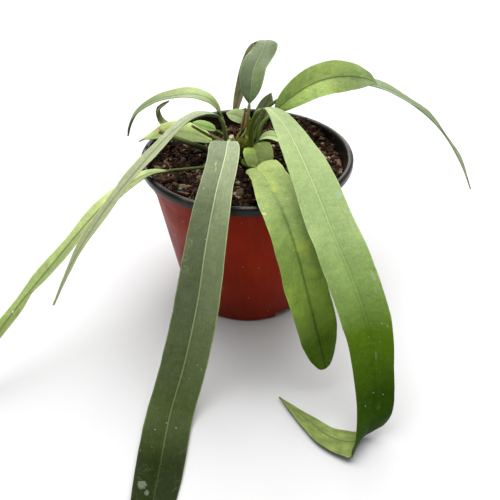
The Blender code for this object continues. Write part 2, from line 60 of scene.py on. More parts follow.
# Pot
POT_HEIGHT = 124.0
RIM_RADIUS = 80.0
LIP_HEIGHT = 6.5
LIP_WIDTH = 4.8
COLLAR_DROP = 18.0
COLLAR_TOP_RADIUS = 76.4
COLLAR_RADIUS = 73.8
BODY_TOP_RADIUS = 72.4
FOOT_RADIUS = 55.0
FOOT_BAND = 5.5
FOOT_STEP = 0.7
WALL = 1.5
FLOOR = 1.8
FLOOR_FILLET = 3.0
THROAT_DROP = 3.0
POT_TURNS = 144
SLOT_COUNT = 4
SLOT_WIDTH = 23.0
SLOT_HEIGHT = 5.0
SLOT_DEPTH = 6.0
SLOT_CORNER = 1.4
SLOT_FIRST = -55.0
HOLE_COUNT = 4
HOLE_RADIUS = 4.0
HOLE_CIRCLE = 30.0
HOLE_FIRST = -10.0

# Bark mix: a level bed with a heap, chips, lumps and grit, calmer round the crown
SOIL_LEVEL = 111.0
SOIL_GAP = 0.3
HEAP_AT = (42.0, 48.0)
HEAP_HEIGHT = 13.0
HEAP_SPREAD = 30.0
CHIP_SIZE = 9.0
CHIP_HEIGHT = 3.2
SOIL_RINGS = 48
SOIL_TURNS = 144
LUMP_SIZE = 3.4
LUMP_HEIGHT = 1.5
GRIT_SIZE = 2.2
GRIT_HEIGHT = 0.7
SURFACE_DROP = 0.6
SCATTER_RADIUS = 74.0
FIBRE_RADIUS = 72.0
WALL_CLEARANCE = 0.5
CALM_RADIUS = 25.0
LOOSE_GRAINS = 8
CHIP_TONE = (0.2, 0.105, 0.065)

# Crown
CROWN_AT = (-4.0, 12.0)
CROWN_BASE = 100.0
CROWN_RADIUS = 8.0
CROWN_SHOULDER = 122.0
CROWN_TOP = 128.0
CROWN_DOME = 2.6
CROWN_RINGS = 12
CROWN_TURNS = 64
SEAT_GAP = 0.3

# Leaf make-up: a stalk leans out of the crown, swells at its foot and at the knee where the blade
# starts, and sinks under the blade as its rib. Lengths and runs are in millimetres.
FOOT_LEAN = 3.5
FOOT_SWELL = 0.35
FOOT_RUN = 5.0
KNEE_SWELL = 0.08
KNEE_RUN = 4.0
STALK_TAPER = 0.25
STALK_SIDES = 16
RIB_SIDES = 12
RIB_END_RADIUS = 0.42
BLADE_THICKNESS = 0.55
TIP_HALF_WIDTH = 0.7
LOBE_LENGTH = 16.0
BASE_ROUND = 0.07
SINK_START = 6.0
SINK_RUN = 14.0
MARGIN_WEAR = 0.025
WEAR_LENGTH = 11.0
UNEVEN_RUN = 26.0
WAVE_LENGTH = 9.0
RIPPLE = 0.3
RIPPLE_LENGTH = 5.0
SWELL = 0.03
EASE_ROUNDS = 8
EASE_STEP = 0.012
VEIN_SPACING = 6.5
VEIN_SLANT = 0.85

# Camera, in metres and degrees, with its lens and sensor in millimetres
CAMERA_AT = (0.0, -0.407448, 0.335562)
CAMERA_FORWARD = (0.003215, 0.800934, -0.598744)
CAMERA_ROLL = -0.56
CAMERA_LENS = 43.2
SENSOR_WIDTH = 36.0

# Stage, in metres
FLOOR_HALF = 6.0
LIGHT_TARGET = (0.0, 0.0, 0.08)
SKY_COLOUR = (0.97, 0.98, 1.0, 1.0)

# A leaf grows from its foot on the crown, given as bearing and height. Its route is a list of
# points (out, up, aside, roll, swing), the last three 0 where they are left out: millimetres from
# the crown's axis along the heading, above the surface and to the left of the heading, the
# degrees by which the upper face leans to the right, and those by which the sections swing
# forward on the right. The blade starts at the point that blade_from counts to. Base, wedge,
# peak, tip and blunt shape its outline. The gutter is the slope of its halves in degrees, and
# wave the height of its waved margins in millimetres. Lobes are how far it reaches back beside
# its stalk on the left and the right, opening is the share of the width that it has there, and
# uneven is how much fuller the left half is than the right. A bite is (side, where, how long, how
# deep), as shares. Eased is the stretch whose margins are smoothed, and droop is (where, how far,
# how deep in millimetres) the margins sink.
Leaf = namedtuple(
    "Leaf",
    "heading foot route look width stalk blade_from base peak tip blunt wedge gutter wave lobes "
    "opening uneven bite eased droop",
    defaults=(1, 3.0, 0.45, 2.4, 1.0, 0.5, 10.0, 0.8, (0.0, 0.0), 0.0, 0.0, None, None, None),
)

LEAVES = {
    "leaf_front_long": Leaf(
        heading=-103, foot=(-106, 116), blade_from=2, width=31.0, stalk=4.0, base=1.7, peak=0.6,
        tip=4.0, blunt=0.8, opening=0.66, uneven=-0.32, look="front_long",
        route=[
            (24, 136), (46, 149, 2, 8), (76, 152, 7, 6), (104, 142, 8), (124, 116, 6),
            (136, 80, 2), (148, 28, -8), (169, 6, -12), (228, 2.5, -3), (275, 2.5, 3),
        ],
    ),
    "leaf_right_long": Leaf(
        heading=-64, foot=(-58, 121), blade_from=2, width=31.0, stalk=4.4, peak=0.4, tip=3.0,
        wedge=1.25, gutter=13.0, eased=(0.55, 0.8), look="right_long",
        route=[
            (18, 147), (30, 164, 1), (46, 169, 1), (68, 164, 1), (104, 147, -2),
            (131, 124, -2, 8), (147, 105, 1, 20), (160, 84, 4.5, 30), (170, 64, 6.5, 34),
            (180, 44, 4.5, 34, 5), (188, 30, 2, 26, 15), (195, 19, -3, 10, 30),
            (199, 11, -10, -30, 45), (198, 6, -17, -85, 30), (193, 5, -24, -92, 8),
            (184, 4, -30, -87), (171, 4, -34, -87), (157, 3, -38, -87), (142, 2.5, -42, -87),
        ],
    ),
    "leaf_front_short": Leaf(
        heading=-72, foot=(-88, 114), blade_from=2, width=29.0, stalk=3.0, base=4.0, peak=0.5,
        tip=4.0, blunt=0.5, wave=1.6, lobes=(7.0, 5.0), opening=0.85, uneven=0.25,
        look="front_short",
        route=[
            (20, 117, -4, 10), (44, 126, -2.2, 15), (57, 129, -2.4, 13), (82, 130, -4.4, 4),
            (110, 127, -7), (127, 114, -6), (140, 82, -1), (149, 23, 11),
        ],
    ),
    "leaf_right_broad": Leaf(
        heading=15, foot=(5, 120), blade_from=2, width=25.0, stalk=3.6, base=2.0, peak=0.58,
        blunt=0.7, look="right_broad",
        route=[
            (16, 138, 0, 10), (27, 148, 0, 40), (42, 159, 0, 52), (56, 166, 0, 52),
            (72, 169, 0, 52), (88, 168, 0, 42), (102, 164, 0, 28), (109, 160, 0, 15),
        ],
    ),
    "leaf_right_reaching": Leaf(
        heading=12, foot=(42, 122), blade_from=2, width=18.0, stalk=3.4, tip=2.2,
        look="right_reaching",
        route=[
            (24, 143, 18), (44, 151, 22), (69, 157, 24), (93, 157, 24), (124, 149, 20),
            (150, 134, 16), (177, 110, 12), (201, 76, 8), (214, 51, 6),
        ],
    ),
    "leaf_upright": Leaf(
        heading=88, foot=(66, 123), blade_from=2, width=20.0, stalk=3.2, peak=0.22, tip=1.6,
        blunt=0.75, wedge=0.75, droop=(0.335, 0.08, 4.5), look="upright",
        route=[
            (5, 144, -5), (8, 154, -6), (16, 161, -7), (31, 172, -9), (42, 179, -14),
            (55, 186, -18), (65, 177, -12), (73, 158, -4), (78, 135, 4), (82, 102, 11),
        ],
    ),
    "leaf_left_arching": Leaf(
        heading=177, foot=(168, 123), width=17.0, stalk=3.2, look="left_arching",
        route=[
            (15, 149), (21, 159), (34, 164), (52, 162), (66, 158), (78, 150), (85, 139),
            (88, 130),
        ],
    ),
    "leaf_left_long": Leaf(
        heading=225, foot=(216, 120.5), width=13.0, stalk=3.6, tip=2.2, look="left_long",
        route=[
            (21, 153), (36, 161, 0, 10), (52, 161, 0, 15), (68, 156, 0, 15), (93, 143, 0, 15),
            (121, 126, 0, 15), (146, 106, 0, 15), (160, 92, 0, 15), (176, 72, 0, 15),
        ],
    ),
    "leaf_left_low": Leaf(
        heading=217, foot=(231, 114.5), blade_from=3, width=13.0, stalk=2.8, tip=4.0, blunt=0.8,
        bite=(-1, 0.6, 0.025, 0.5), look="left_low",
        route=[
            (35, 116), (48, 119), (67, 124), (83, 127), (104, 122), (122, 113), (160, 86),
            (205, 51), (243, 12),
        ],
    ),
    "leaf_left_pale": Leaf(
        heading=176, foot=(156, 116), width=18.0, stalk=2.8, tip=1.8, look="pale",
        route=[
            (23, 126, 0, -15), (35, 132, 0, -25), (47, 134, 0, -25), (59, 133, 0, -20),
            (69, 129, 0, -10), (76, 127), (80, 125),
        ],
    ),
    "leaf_left_folded": Leaf(
        heading=202, foot=(186, 121), blade_from=2, width=8.0, stalk=2.4, gutter=22.0,
        look="folded",
        route=[(13, 132, -2, -20), (20, 139, -2, -25), (27, 143, -2, -30), (37, 148, -2, -30)],
    ),
    "leaf_back_small": Leaf(
        heading=115, foot=(128, 117), blade_from=2, width=13.0, stalk=2.2, look="small",
        route=[(18, 123, -11), (26, 128, -17), (32, 131, -14), (42, 132, -6)],
    ),
    "leaf_heart": Leaf(
        heading=-78, foot=(-34, 116), width=22.0, stalk=2.0, peak=0.4, tip=3.0, blunt=0.55,
        gutter=7.0, lobes=(6.0, 4.5), opening=0.75, uneven=0.12, look="heart",
        route=[(14, 127.5, 6), (21, 128.5, 6.5), (29, 126, 6.5), (36, 119.5, 6.5)],
    ),
    "leaf_tucked": Leaf(
        heading=-16, foot=(-10, 116), width=13.0, stalk=2.2, look="small",
        route=[(14, 129), (22, 134), (34, 132), (52, 127)],
    ),
    "leaf_left_curled": Leaf(
        heading=158, foot=(140, 120), blade_from=2, width=9.0, stalk=2.2, gutter=12.0,
        look="curled",
        route=[(35, 129), (58, 128), (70, 132, 0, 10), (71, 142, 0, 20), (60, 150, 0, 20)],
    ),
    "leaf_back_dark": Leaf(
        heading=68, foot=(80, 116), blade_from=2, width=12.0, stalk=2.2, look="dark",
        route=[(20, 124), (34, 130), (50, 134), (66, 140)],
    ),
    "sheath_upright": Leaf(
        heading=100, foot=(112, 122), width=3.4, stalk=2.0, tip=1.5, gutter=25.0, wave=0.0,
        look="dry",
        route=[(10, 131, -2), (9.5, 140, -4), (9.5, 149, -5)],
    ),
}

# Bare stalks: the same foot and route, the thickness at foot and end, and a look
Stalk = namedtuple("Stalk", "heading foot route thickness look")

STALKS = {
    "stalk_cut_long": Stalk(
        heading=199, foot=(205, 114.5), thickness=(4.0, 3.8), look="cut",
        route=[(27, 124), (41, 132), (51, 138), (63, 146)],
    ),
    "stalk_withered": Stalk(
        heading=197, foot=(182, 114), thickness=(3.0, 1.8), look="withered",
        route=[(16, 127), (28, 137), (38, 145)],
    ),
    "stalk_stub": Stalk(
        heading=240, foot=(236, 125), thickness=(3.6, 3.4), look="stub",
        route=[(12, 130), (15, 137)],
    ),
}

# The colours of a leaf, linear: the upper face at places from its base to its end, the under face,
# the stalk and its foot. The upper face's tones hold painted sheen where it turns up to the light
# and painted shade where it turns away, hangs or lies low, and a few under faces are lightened as
# painted light shining through the leaf. Against the upper face, how light the rib is at its base
# and further on, a rib darker than the face being painted shade in its groove, how light the
# margin is, and how light the right half is before and past the widest place, which is painted
# light and shade on the halves. Then how softly the halves meet, how strongly the face is clouded,
# veined and streaked, its gloss and roughness, and how far the rib stands proud of it in
# millimetres.
Look = namedtuple(
    "Look",
    "tones under stalk foot rib margin right soft mottle veins streaks gloss rough proud",
    defaults=(None, (0.45, 0.45), 1.5, (1.0, 1.0), 0.03, 0.5, 0.2, 0.4, 0.12, 0.42, -0.3),
)

LOOKS = {
    "front_long": Look(
        tones=(
            (0.0, (0.215, 0.25, 0.155)), (0.26, (0.19, 0.235, 0.125)),
            (0.5, (0.135, 0.18, 0.078)), (0.65, (0.053, 0.077, 0.024)),
            (0.78, (0.01, 0.017, 0.001)),
        ),
        under=(0.12, 0.17, 0.07), stalk=(0.08, 0.12, 0.03), rib=(1.7, 2.1), margin=2.0,
        right=(0.66, 1.07), veins=0.1, streaks=0.9, gloss=0.05, rough=0.46, proud=0.16,
    ),
    "right_long": Look(
        tones=(
            (0.0, (0.235, 0.29, 0.145)), (0.36, (0.285, 0.39, 0.155)),
            (0.46, (0.25, 0.375, 0.108)), (0.57, (0.085, 0.163, 0.006)),
            (0.7, (0.02, 0.05, 0.001)),
        ),
        under=(0.165, 0.215, 0.058), stalk=(0.12, 0.18, 0.02), rib=(1.6, 1.1), margin=1.2,
        mottle=0.3, veins=0.12, gloss=0.05, rough=0.4, proud=0.12,
    ),
    "front_short": Look(
        tones=(
            (0.0, (0.285, 0.36, 0.12)), (0.2, (0.3, 0.395, 0.135)), (0.38, (0.2, 0.29, 0.088)),
            (0.64, (0.215, 0.335, 0.055)), (0.86, (0.06, 0.122, 0.001)),
        ),
        under=(0.18, 0.25, 0.08), stalk=(0.12, 0.18, 0.04), rib=(1.5, 0.55), margin=1.25,
        right=(0.78, 0.92), soft=0.05, mottle=0.9, veins=0.3, gloss=0.05,
    ),
    "right_broad": Look(
        tones=(
            (0.0, (0.075, 0.125, 0.015)), (0.17, (0.19, 0.285, 0.068)),
            (0.48, (0.29, 0.395, 0.11)), (0.72, (0.185, 0.265, 0.075)),
            (0.9, (0.15, 0.218, 0.08)),
        ),
        under=(0.15, 0.22, 0.06), stalk=(0.13, 0.2, 0.045), rib=(0.5, 0.4), margin=1.3,
        right=(1.1, 0.68), mottle=1.0, veins=0.4,
    ),
    "right_reaching": Look(
        tones=(
            (0.0, (0.205, 0.255, 0.15)), (0.5, (0.175, 0.225, 0.12)), (1.0, (0.165, 0.215, 0.12)),
        ),
        # The under face is lightened well past its own colour, as painted light shining through
        # the leaf.
        under=(0.44, 0.56, 0.3), stalk=(0.09, 0.12, 0.025), mottle=0.4, veins=0.1, rough=0.45,
    ),
    "upright": Look(
        tones=(
            (0.0, (0.02, 0.036, 0.008)), (0.15, (0.055, 0.08, 0.029)),
            (0.25, (0.1, 0.132, 0.064)), (0.36, (0.135, 0.172, 0.09)),
            (0.55, (0.08, 0.085, 0.04)),
        ),
        # The under face is lightened well past its own colour, as painted light shining through
        # the leaf.
        under=(0.4, 0.41, 0.2), stalk=(0.13, 0.17, 0.06), foot=(0.5, 0.4, 0.09), rib=(1.7, 1.3),
        margin=1.8, right=(1.8, 0.93), mottle=0.6, veins=0.1,
    ),
    "left_arching": Look(
        tones=(
            (0.0, (0.125, 0.175, 0.048)), (0.3, (0.185, 0.23, 0.095)),
            (0.6, (0.145, 0.19, 0.078)), (1.0, (0.11, 0.15, 0.055)),
        ),
        under=(0.05, 0.09, 0.02), stalk=(0.14, 0.21, 0.05), right=(1.4, 1.15), veins=0.1,
    ),
    "left_long": Look(
        tones=(
            (0.0, (0.17, 0.21, 0.1)), (0.22, (0.26, 0.295, 0.18)), (0.55, (0.255, 0.29, 0.165)),
            (1.0, (0.23, 0.285, 0.13)),
        ),
        under=(0.11, 0.16, 0.06), stalk=(0.18, 0.24, 0.08), rib=(0.8, 0.6), veins=0.15,
        streaks=0.7, rough=0.44,
    ),
    "left_low": Look(
        tones=(
            (0.0, (0.2, 0.26, 0.09)), (0.2, (0.29, 0.345, 0.145)), (0.45, (0.21, 0.27, 0.103)),
            (0.8, (0.17, 0.23, 0.066)),
        ),
        under=(0.18, 0.25, 0.08), stalk=(0.1, 0.13, 0.035), right=(1.4, 1.4), mottle=0.8,
        veins=0.15, rough=0.44,
    ),
    "pale": Look(
        tones=((0.0, (0.26, 0.34, 0.11)), (1.0, (0.36, 0.44, 0.17))),
        under=(0.25, 0.33, 0.13), stalk=(0.16, 0.23, 0.05), rib=(0.8, 0.8), margin=1.2,
        right=(2.0, 1.8), soft=0.08, rough=0.45,
    ),
    "small": Look(
        tones=((0.0, (0.19, 0.245, 0.1)), (1.0, (0.25, 0.325, 0.13))),
        under=(0.15, 0.21, 0.08), stalk=(0.13, 0.19, 0.04), rib=(0.6, 0.6), right=(1.25, 1.15),
        soft=0.08, rough=0.45,
    ),
    "folded": Look(
        tones=((0.0, (0.17, 0.26, 0.07)), (1.0, (0.23, 0.325, 0.115))),
        under=(0.07, 0.11, 0.03), stalk=(0.13, 0.19, 0.04), rib=(0.7, 0.7), right=(2.4, 2.2),
    ),
    "curled": Look(
        tones=((0.0, (0.15, 0.18, 0.055)), (0.5, (0.2, 0.22, 0.07)), (1.0, (0.38, 0.43, 0.21))),
        under=(0.13, 0.15, 0.05), stalk=(0.17, 0.19, 0.06), margin=0.7, mottle=0.9, rough=0.55,
    ),
    "heart": Look(
        tones=(
            (0.0, (0.085, 0.12, 0.022)), (0.4, (0.092, 0.134, 0.025)),
            (1.0, (0.105, 0.15, 0.029)),
        ),
        under=(0.13, 0.19, 0.06), stalk=(0.14, 0.2, 0.04), rib=(0.75, 0.75), margin=1.3,
        right=(2.3, 1.1), soft=0.14, veins=0.8,
    ),
    "dark": Look(
        tones=((0.0, (0.04, 0.062, 0.014)), (1.0, (0.062, 0.066, 0.016))),
        under=(0.06, 0.08, 0.03), stalk=(0.09, 0.07, 0.03), mottle=0.8, rough=0.5,
    ),
    "dry": Look(
        tones=((0.0, (0.3, 0.23, 0.07)), (0.5, (0.45, 0.28, 0.15)), (1.0, (0.36, 0.2, 0.13))),
        under=(0.36, 0.24, 0.12), stalk=(0.33, 0.26, 0.08), mottle=1.0, rough=0.7,
    ),
}

# Bare stalks: the colour at the foot, along the middle and at the end
STALK_COLOURS = {
    "cut": ((0.035, 0.05, 0.008), (0.022, 0.036, 0.004), (0.22, 0.25, 0.09)),
    "withered": ((0.6, 0.4, 0.06), (0.24, 0.2, 0.05), (0.3, 0.3, 0.08)),
    "stub": ((0.32, 0.38, 0.11), (0.52, 0.56, 0.23), (0.64, 0.48, 0.33)),
}

# Marks on the upper faces: (kind, across, along, size in millimetres, colour, strength). Across
# runs from 0 at the left margin to 1 at the right, along from 0 at the base to 1 at the tip.
MARKS = {
    "leaf_front_long": (
        ("streak", 0.71, 0.115, 1.0, (0.33, 0.4, 0.13), 0.7),
        ("streak", 0.67, 0.13, 0.9, (0.33, 0.4, 0.13), 0.6),
        ("ring", 0.9, 0.286, 1.9, (0.3, 0.34, 0.22), 0.5),
        ("ring", 0.93, 0.315, 1.6, (0.3, 0.34, 0.22), 0.45),
        ("ring", 0.9, 0.337, 2.1, (0.3, 0.34, 0.22), 0.5),
        ("film", 0.8, 0.831, 3.2, (0.17, 0.19, 0.14), 0.55),
        ("film", 0.67, 0.845, 2.0, (0.17, 0.19, 0.14), 0.5),
    ),
    "leaf_right_long": (
        ("film", 0.11, 0.293, 2.6, (0.29, 0.42, 0.25), 0.8),
        ("ring", 0.05, 0.326, 2.2, (0.46, 0.52, 0.33), 0.4),
        ("streak", 0.1, 0.462, 1.5, (0.33, 0.46, 0.22), 0.85),
        ("streak", 0.14, 0.487, 0.9, (0.3, 0.39, 0.17), 0.7),
        ("ring", 0.79, 0.45, 3.0, (0.2, 0.29, 0.09), 0.4),
        ("streak", 0.42, 0.617, 1.2, (0.12, 0.19, 0.055), 0.85),
        ("film", 0.41, 0.725, 1.6, (0.045, 0.075, 0.018), 0.8),
    ),
    "leaf_front_short": (
        ("spot", 0.46, 0.197, 4.5, (0.47, 0.49, 0.08), 0.6),
        ("spot", 0.36, 0.48, 6.5, (0.4, 0.45, 0.07), 0.5),
        ("spot", 0.95, 0.342, 1.8, (0.56, 0.43, 0.2), 0.8),
    ),
    "leaf_left_arching": (
        ("spot", 0.85, 0.522, 1.8, (0.19, 0.12, 0.06), 0.7),
    ),
    "leaf_left_low": (
        ("spot", 0.72, 0.51, 1.8, (0.33, 0.21, 0.11), 0.7),
        ("spot", 0.53, 0.687, 1.3, (0.62, 0.62, 0.52), 0.7),
    ),
    "leaf_upright": (
        ("film", 0.47, 0.382, 1.4, (0.13, 0.08, 0.04), 0.6),
    ),
}

# Things that lie on the bark mix, as (x, y, size)
BEADS = (
    (-61.5, 40.0, 1.4), (-33.4, 39.5, 1.3), (-48.2, -36.3, 1.45), (33.0, 66.0, 1.3),
    (36.5, 65.6, 1.3),
)
PERLITE = (
    (20.9, 25.6, 1.7), (12.0, 52.3, 1.3), (64.1, 10.1, 1.8), (-51.3, 36.2, 1.2), (0.0, 4.0, 1.2),
)
FLAT_CHIPS = (
    (-62.2, 6.3, 5.0), (-44.1, -36.6, 6.0), (-39.2, -0.9, 4.0), (70.1, 1.9, 4.5),
)


class PotSettings(bpy.types.PropertyGroup):
    """Finish of the nursery pot."""

    body: bpy.props.FloatVectorProperty(
        name="Body", description="Colour of the pot's wall",
        subtype="COLOR", size=3, min=0.0, max=1.0, default=(0.265, 0.015, 0.002),
    )
    lip: bpy.props.FloatVectorProperty(
        name="Lip", description="Colour of the rolled lip and of the inside",
        subtype="COLOR", size=3, min=0.0, max=1.0, default=(0.008, 0.0062, 0.0048),
    )
    dust: bpy.props.FloatProperty(
        name="Dust", description="How much pale dust lies on the plastic",
        subtype="FACTOR", min=0.0, max=1.0, default=0.5,
    )


class SoilSettings(bpy.types.PropertyGroup):
    """Make-up of the bark mix."""

    seed: bpy.props.IntProperty(
        name="Seed", description="Which scatter of crumbs and chips is made", min=0, default=7
    )
    lumps: bpy.props.IntProperty(
        name="Lumps", description="How many large lumps lie on the mix", min=0, default=70
    )
    crumbs: bpy.props.IntProperty(
        name="Crumbs", description="How many crumbs lie on the mix", min=0, default=3000
    )
    flakes: bpy.props.IntProperty(
        name="Flakes", description="How many flakes of bark lie on the mix", min=0, default=700
    )
    fibres: bpy.props.IntProperty(
        name="Fibres", description="How many fibres lie on the mix", min=0, default=120
    )


class FoliageSettings(bpy.types.PropertyGroup):
    """Detail of the leaves."""

    columns: bpy.props.IntProperty(
        name="Columns", description="Faces across a blade", min=4, max=40, default=16
    )
    step: bpy.props.FloatProperty(
        name="Step", description="Length of a blade's faces, in millimetres",
        min=1.0, max=10.0, default=2.6,
    )
    specks: bpy.props.FloatProperty(
        name="Specks", description="How strongly dried water shows on the leaves",
        subtype="FACTOR", min=0.0, max=1.0, default=0.6,
    )


class StageSettings(bpy.types.PropertyGroup):
    """Floor and studio light."""

    floor: bpy.props.FloatVectorProperty(
        name="Floor", description="Colour of the floor",
        subtype="COLOR", size=3, min=0.0, max=1.0, default=(0.55, 0.55, 0.55),
    )
    overhead: bpy.props.FloatProperty(
        name="Overhead light", description="Power of the soft light above the plant",
        subtype="POWER", unit="POWER", min=0.0, default=50.0,
    )
    back: bpy.props.FloatProperty(
        name="Back light", description="Power of the soft light behind the plant",
        subtype="POWER", unit="POWER", min=0.0, default=16.0,
    )
    sky: bpy.props.FloatProperty(
        name="Sky", description="Strength of the light from all round", min=0.0, default=0.4
    )


def held(value):
    """The number, held between 0 and 1."""
    return min(1.0, max(0.0, value))


def bell(value):
    """A bell curve, 1 where the value is 0."""
    return math.exp(-(value**2))


def shaded(colour, factor):
    """A colour made lighter or darker."""
    return tuple(part * factor for part in colour)


class Finish:
    """A node material put together step by step. A value given for a socket is a number, a
    colour or another node's output."""

    def __init__(self, name, roughness=0.5, specular=0.4):
        self.material = bpy.data.materials.new(name)
        self.material.use_nodes = True
        self.tree = self.material.node_tree
        self.shader = self.tree.nodes["Principled BSDF"]
        self.shader.inputs["Roughness"].default_value = roughness
        self.shader.inputs["Specular IOR Level"].default_value = specular

    def feed(self, socket, value):
        """Link an output to a socket, or set the socket's own value."""
        if isinstance(value, bpy.types.NodeSocket):
            self.tree.links.new(value, socket)
        elif isinstance(value, tuple) and socket.type == "RGBA":
            socket.default_value = (*value, 1.0)
        else:
            socket.default_value = value

    def node(self, kind, feeds, **settings):
        """A node with its settings, and its sockets fed by name or number."""
        made = self.tree.nodes.new(kind)
        for key, value in settings.items():
            setattr(made, key, value)
        for key, value in feeds.items():
            self.feed(made.inputs[key], value)
        return made

    def coordinates(self, output="Object"):
        """Texture coordinates of the piece."""
        return self.node("ShaderNodeTexCoord", {}).outputs[output]

    def scaled(self, vector, scale):
        """A vector with its axes scaled."""
        return self.node("ShaderNodeMapping", {"Vector": vector, "Scale": scale}).outputs[0]

    def noise(self, vector, scale, detail=3.0, rough=0.5, twist=0.0):
        """Cloudy noise from 0 to 1."""
        feeds = {"Vector": vector, "Scale": scale, "Detail": detail}
        feeds |= {"Roughness": rough, "Distortion": twist}
        return self.node("ShaderNodeTexNoise", feeds).outputs["Fac"]

    def cells(self, vector, scale):
        """Distance to the nearest cell's centre, and the cell's own random value."""
        made = self.node("ShaderNodeTexVoronoi", {"Vector": vector, "Scale": scale})
        return made.outputs["Distance"], self.parts(made.outputs["Color"])[0]

    def parts(self, vector):
        """The three parts of a vector."""
        return self.node("ShaderNodeSeparateXYZ", {0: vector}).outputs

    def math(self, operation, *values):
        """A sum on numbers."""
        return self.node("ShaderNodeMath", dict(enumerate(values)), operation=operation).outputs[0]

    def times(self, first, second):
        """The product of two numbers."""
        return self.math("MULTIPLY", first, second)

    def plus(self, first, second):
        """The sum of two numbers."""
        return self.math("ADD", first, second)

    def minus(self, first, second):
        """The first number less the second."""
        return self.math("SUBTRACT", first, second)

    def apart(self, first, second):
        """How far two numbers lie apart."""
        return self.math("ABSOLUTE", self.minus(first, second))

    def between(self, value, low, high, to_low=0.0, to_high=1.0):
        """A value eased from one range to another and held at its ends."""
        feeds = {0: value, 1: low, 2: high, 3: to_low, 4: to_high}
        return self.node("ShaderNodeMapRange", feeds, interpolation_type="SMOOTHSTEP").outputs[0]

    def mix(self, share, first, second, blend="MIX"):
        """Two colours mixed."""
        feeds = {0: share, 6: first, 7: second}
        return self.node("ShaderNodeMix", feeds, data_type="RGBA", blend_type=blend).outputs[2]

    def tinted(self, share, colour, tint):
        """A colour multiplied by a tint, as far as the share says."""
        return self.mix(share, colour, tint, "MULTIPLY")

    def dotted(self, strength, colour, tint, place, scale, radius, chance):
        """Small round dots laid over a colour, in the cells whose own value is above a chance.
        The radius is given where a dot ends and where it is full."""
        away, pick = self.cells(place, scale)
        dot = self.times(self.between(away, *radius), self.between(pick, chance, chance + 0.01))
        return self.mix(self.times(dot, strength), colour, tint)

    def ramp(self, value, stops):
        """A colour that runs through the given (place, colour) stops."""
        made = self.node("ShaderNodeValToRGB", {0: value})
        elements = made.color_ramp.elements
        while len(elements) < len(stops):
            elements.new(0.5)
        for element, (place, colour) in zip(elements, stops):
            element.position = place
            element.color = (*colour, 1.0)
        return made.outputs[0]

    def bump(self, height, distance, strength=1.0, normal=None):
        """A normal bent by a height."""
        feeds = {"Height": height, "Distance": distance, "Strength": strength}
        if normal:
            feeds["Normal"] = normal
        return self.node("ShaderNodeBump", feeds).outputs[0]

    def done(self, colour, normal=None, roughness=None):
        """Feed the shader and hand back the material."""
        self.feed(self.shader.inputs["Base Color"], colour)
        if normal:
            self.feed(self.shader.inputs["Normal"], normal)
        if roughness:
            self.feed(self.shader.inputs["Roughness"], roughness)
        return self.material


def mesh_of(name, bm):
    """A mesh with the shape of a bmesh, which is freed."""
    mesh = bpy.data.meshes.new(name)
    bm.to_mesh(mesh)
    bm.free()
    return mesh


def placed(name, data):
    """A new object in the scene."""
    made = bpy.data.objects.new(name, data)
    bpy.context.scene.collection.objects.link(made)
    return made


def in_metres(name, bm):
    """An object in metres with the shape of a bmesh in millimetres."""
    bmesh.ops.scale(bm, vec=(MM, MM, MM), verts=bm.verts)
    return placed(name, mesh_of(name, bm))


def make_piece(name, bm, finishes, slot, node, sharp=40.0):
    """Turn a bmesh in millimetres into a piece in metres that stands for a CAD node."""
    made = in_metres(name, bm)
    mesh = made.data
    for finish in finishes:
        mesh.materials.append(finish)
    mesh.shade_smooth()
    mesh.set_sharp_from_angle(angle=math.radians(sharp))
    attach(made, "root")
    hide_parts(node)
    return made


def make_grown(name, bm, finishes, sharp):
    """A leaf or stalk that stands for the CAD node of its name."""
    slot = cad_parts[name].material_slots[0].name
    make_piece(name + "_grown", bm, finishes, slot, name, sharp)


def spun(profile, turns):
    """Spin a profile of (radius, height) points into a closed body round Z."""
    bm = bmesh.new()
    points = [bm.verts.new((radius, 0.0, height)) for radius, height in profile]
    edges = [bm.edges.new(pair) for pair in zip(points, points[1:])]
    axis, centre = (0.0, 0.0, 1.0), (0.0, 0.0, 0.0)
    bmesh.ops.spin(
        bm, geom=points + edges, axis=axis, cent=centre, steps=turns, angle=math.tau,
        use_merge=True,
    )
    bmesh.ops.remove_doubles(bm, verts=bm.verts, dist=0.01)
    bmesh.ops.recalc_face_normals(bm, faces=bm.faces)
    return bm


def arc(centre, radius, start, end, steps):
    """Points on an arc in the profile's plane, angles in degrees from the radius axis."""
    angles = [math.radians(start + (end - start) * i / steps) for i in range(steps + 1)]
    return [(centre[0] + radius * math.cos(a), centre[1] + radius * math.sin(a)) for a in angles]


def keep_within(co, limit):
    """Pull a point in towards the pot's axis, so that it lies at the limit."""
    away = math.hypot(co.x, co.y)
    co.x *= limit / away
    co.y *= limit / away


def wall_radius(height):
    """Outer radius of the pot's tapered body below the collar."""
    share = height / (POT_HEIGHT - COLLAR_DROP)
    return FOOT_RADIUS + (BODY_TOP_RADIUS - FOOT_RADIUS) * share


def inner_radius(height):
    """Inner radius of the pot at a height above its floor."""
    collar_foot = POT_HEIGHT - COLLAR_DROP
    if height < collar_foot:
        return wall_radius(height) - WALL
    share = (height - collar_foot) / (POT_HEIGHT - LIP_WIDTH / 2 - THROAT_DROP - collar_foot)
    top = RIM_RADIUS - LIP_WIDTH
    return COLLAR_RADIUS - WALL + (top - COLLAR_RADIUS + WALL) * min(1.0, share)


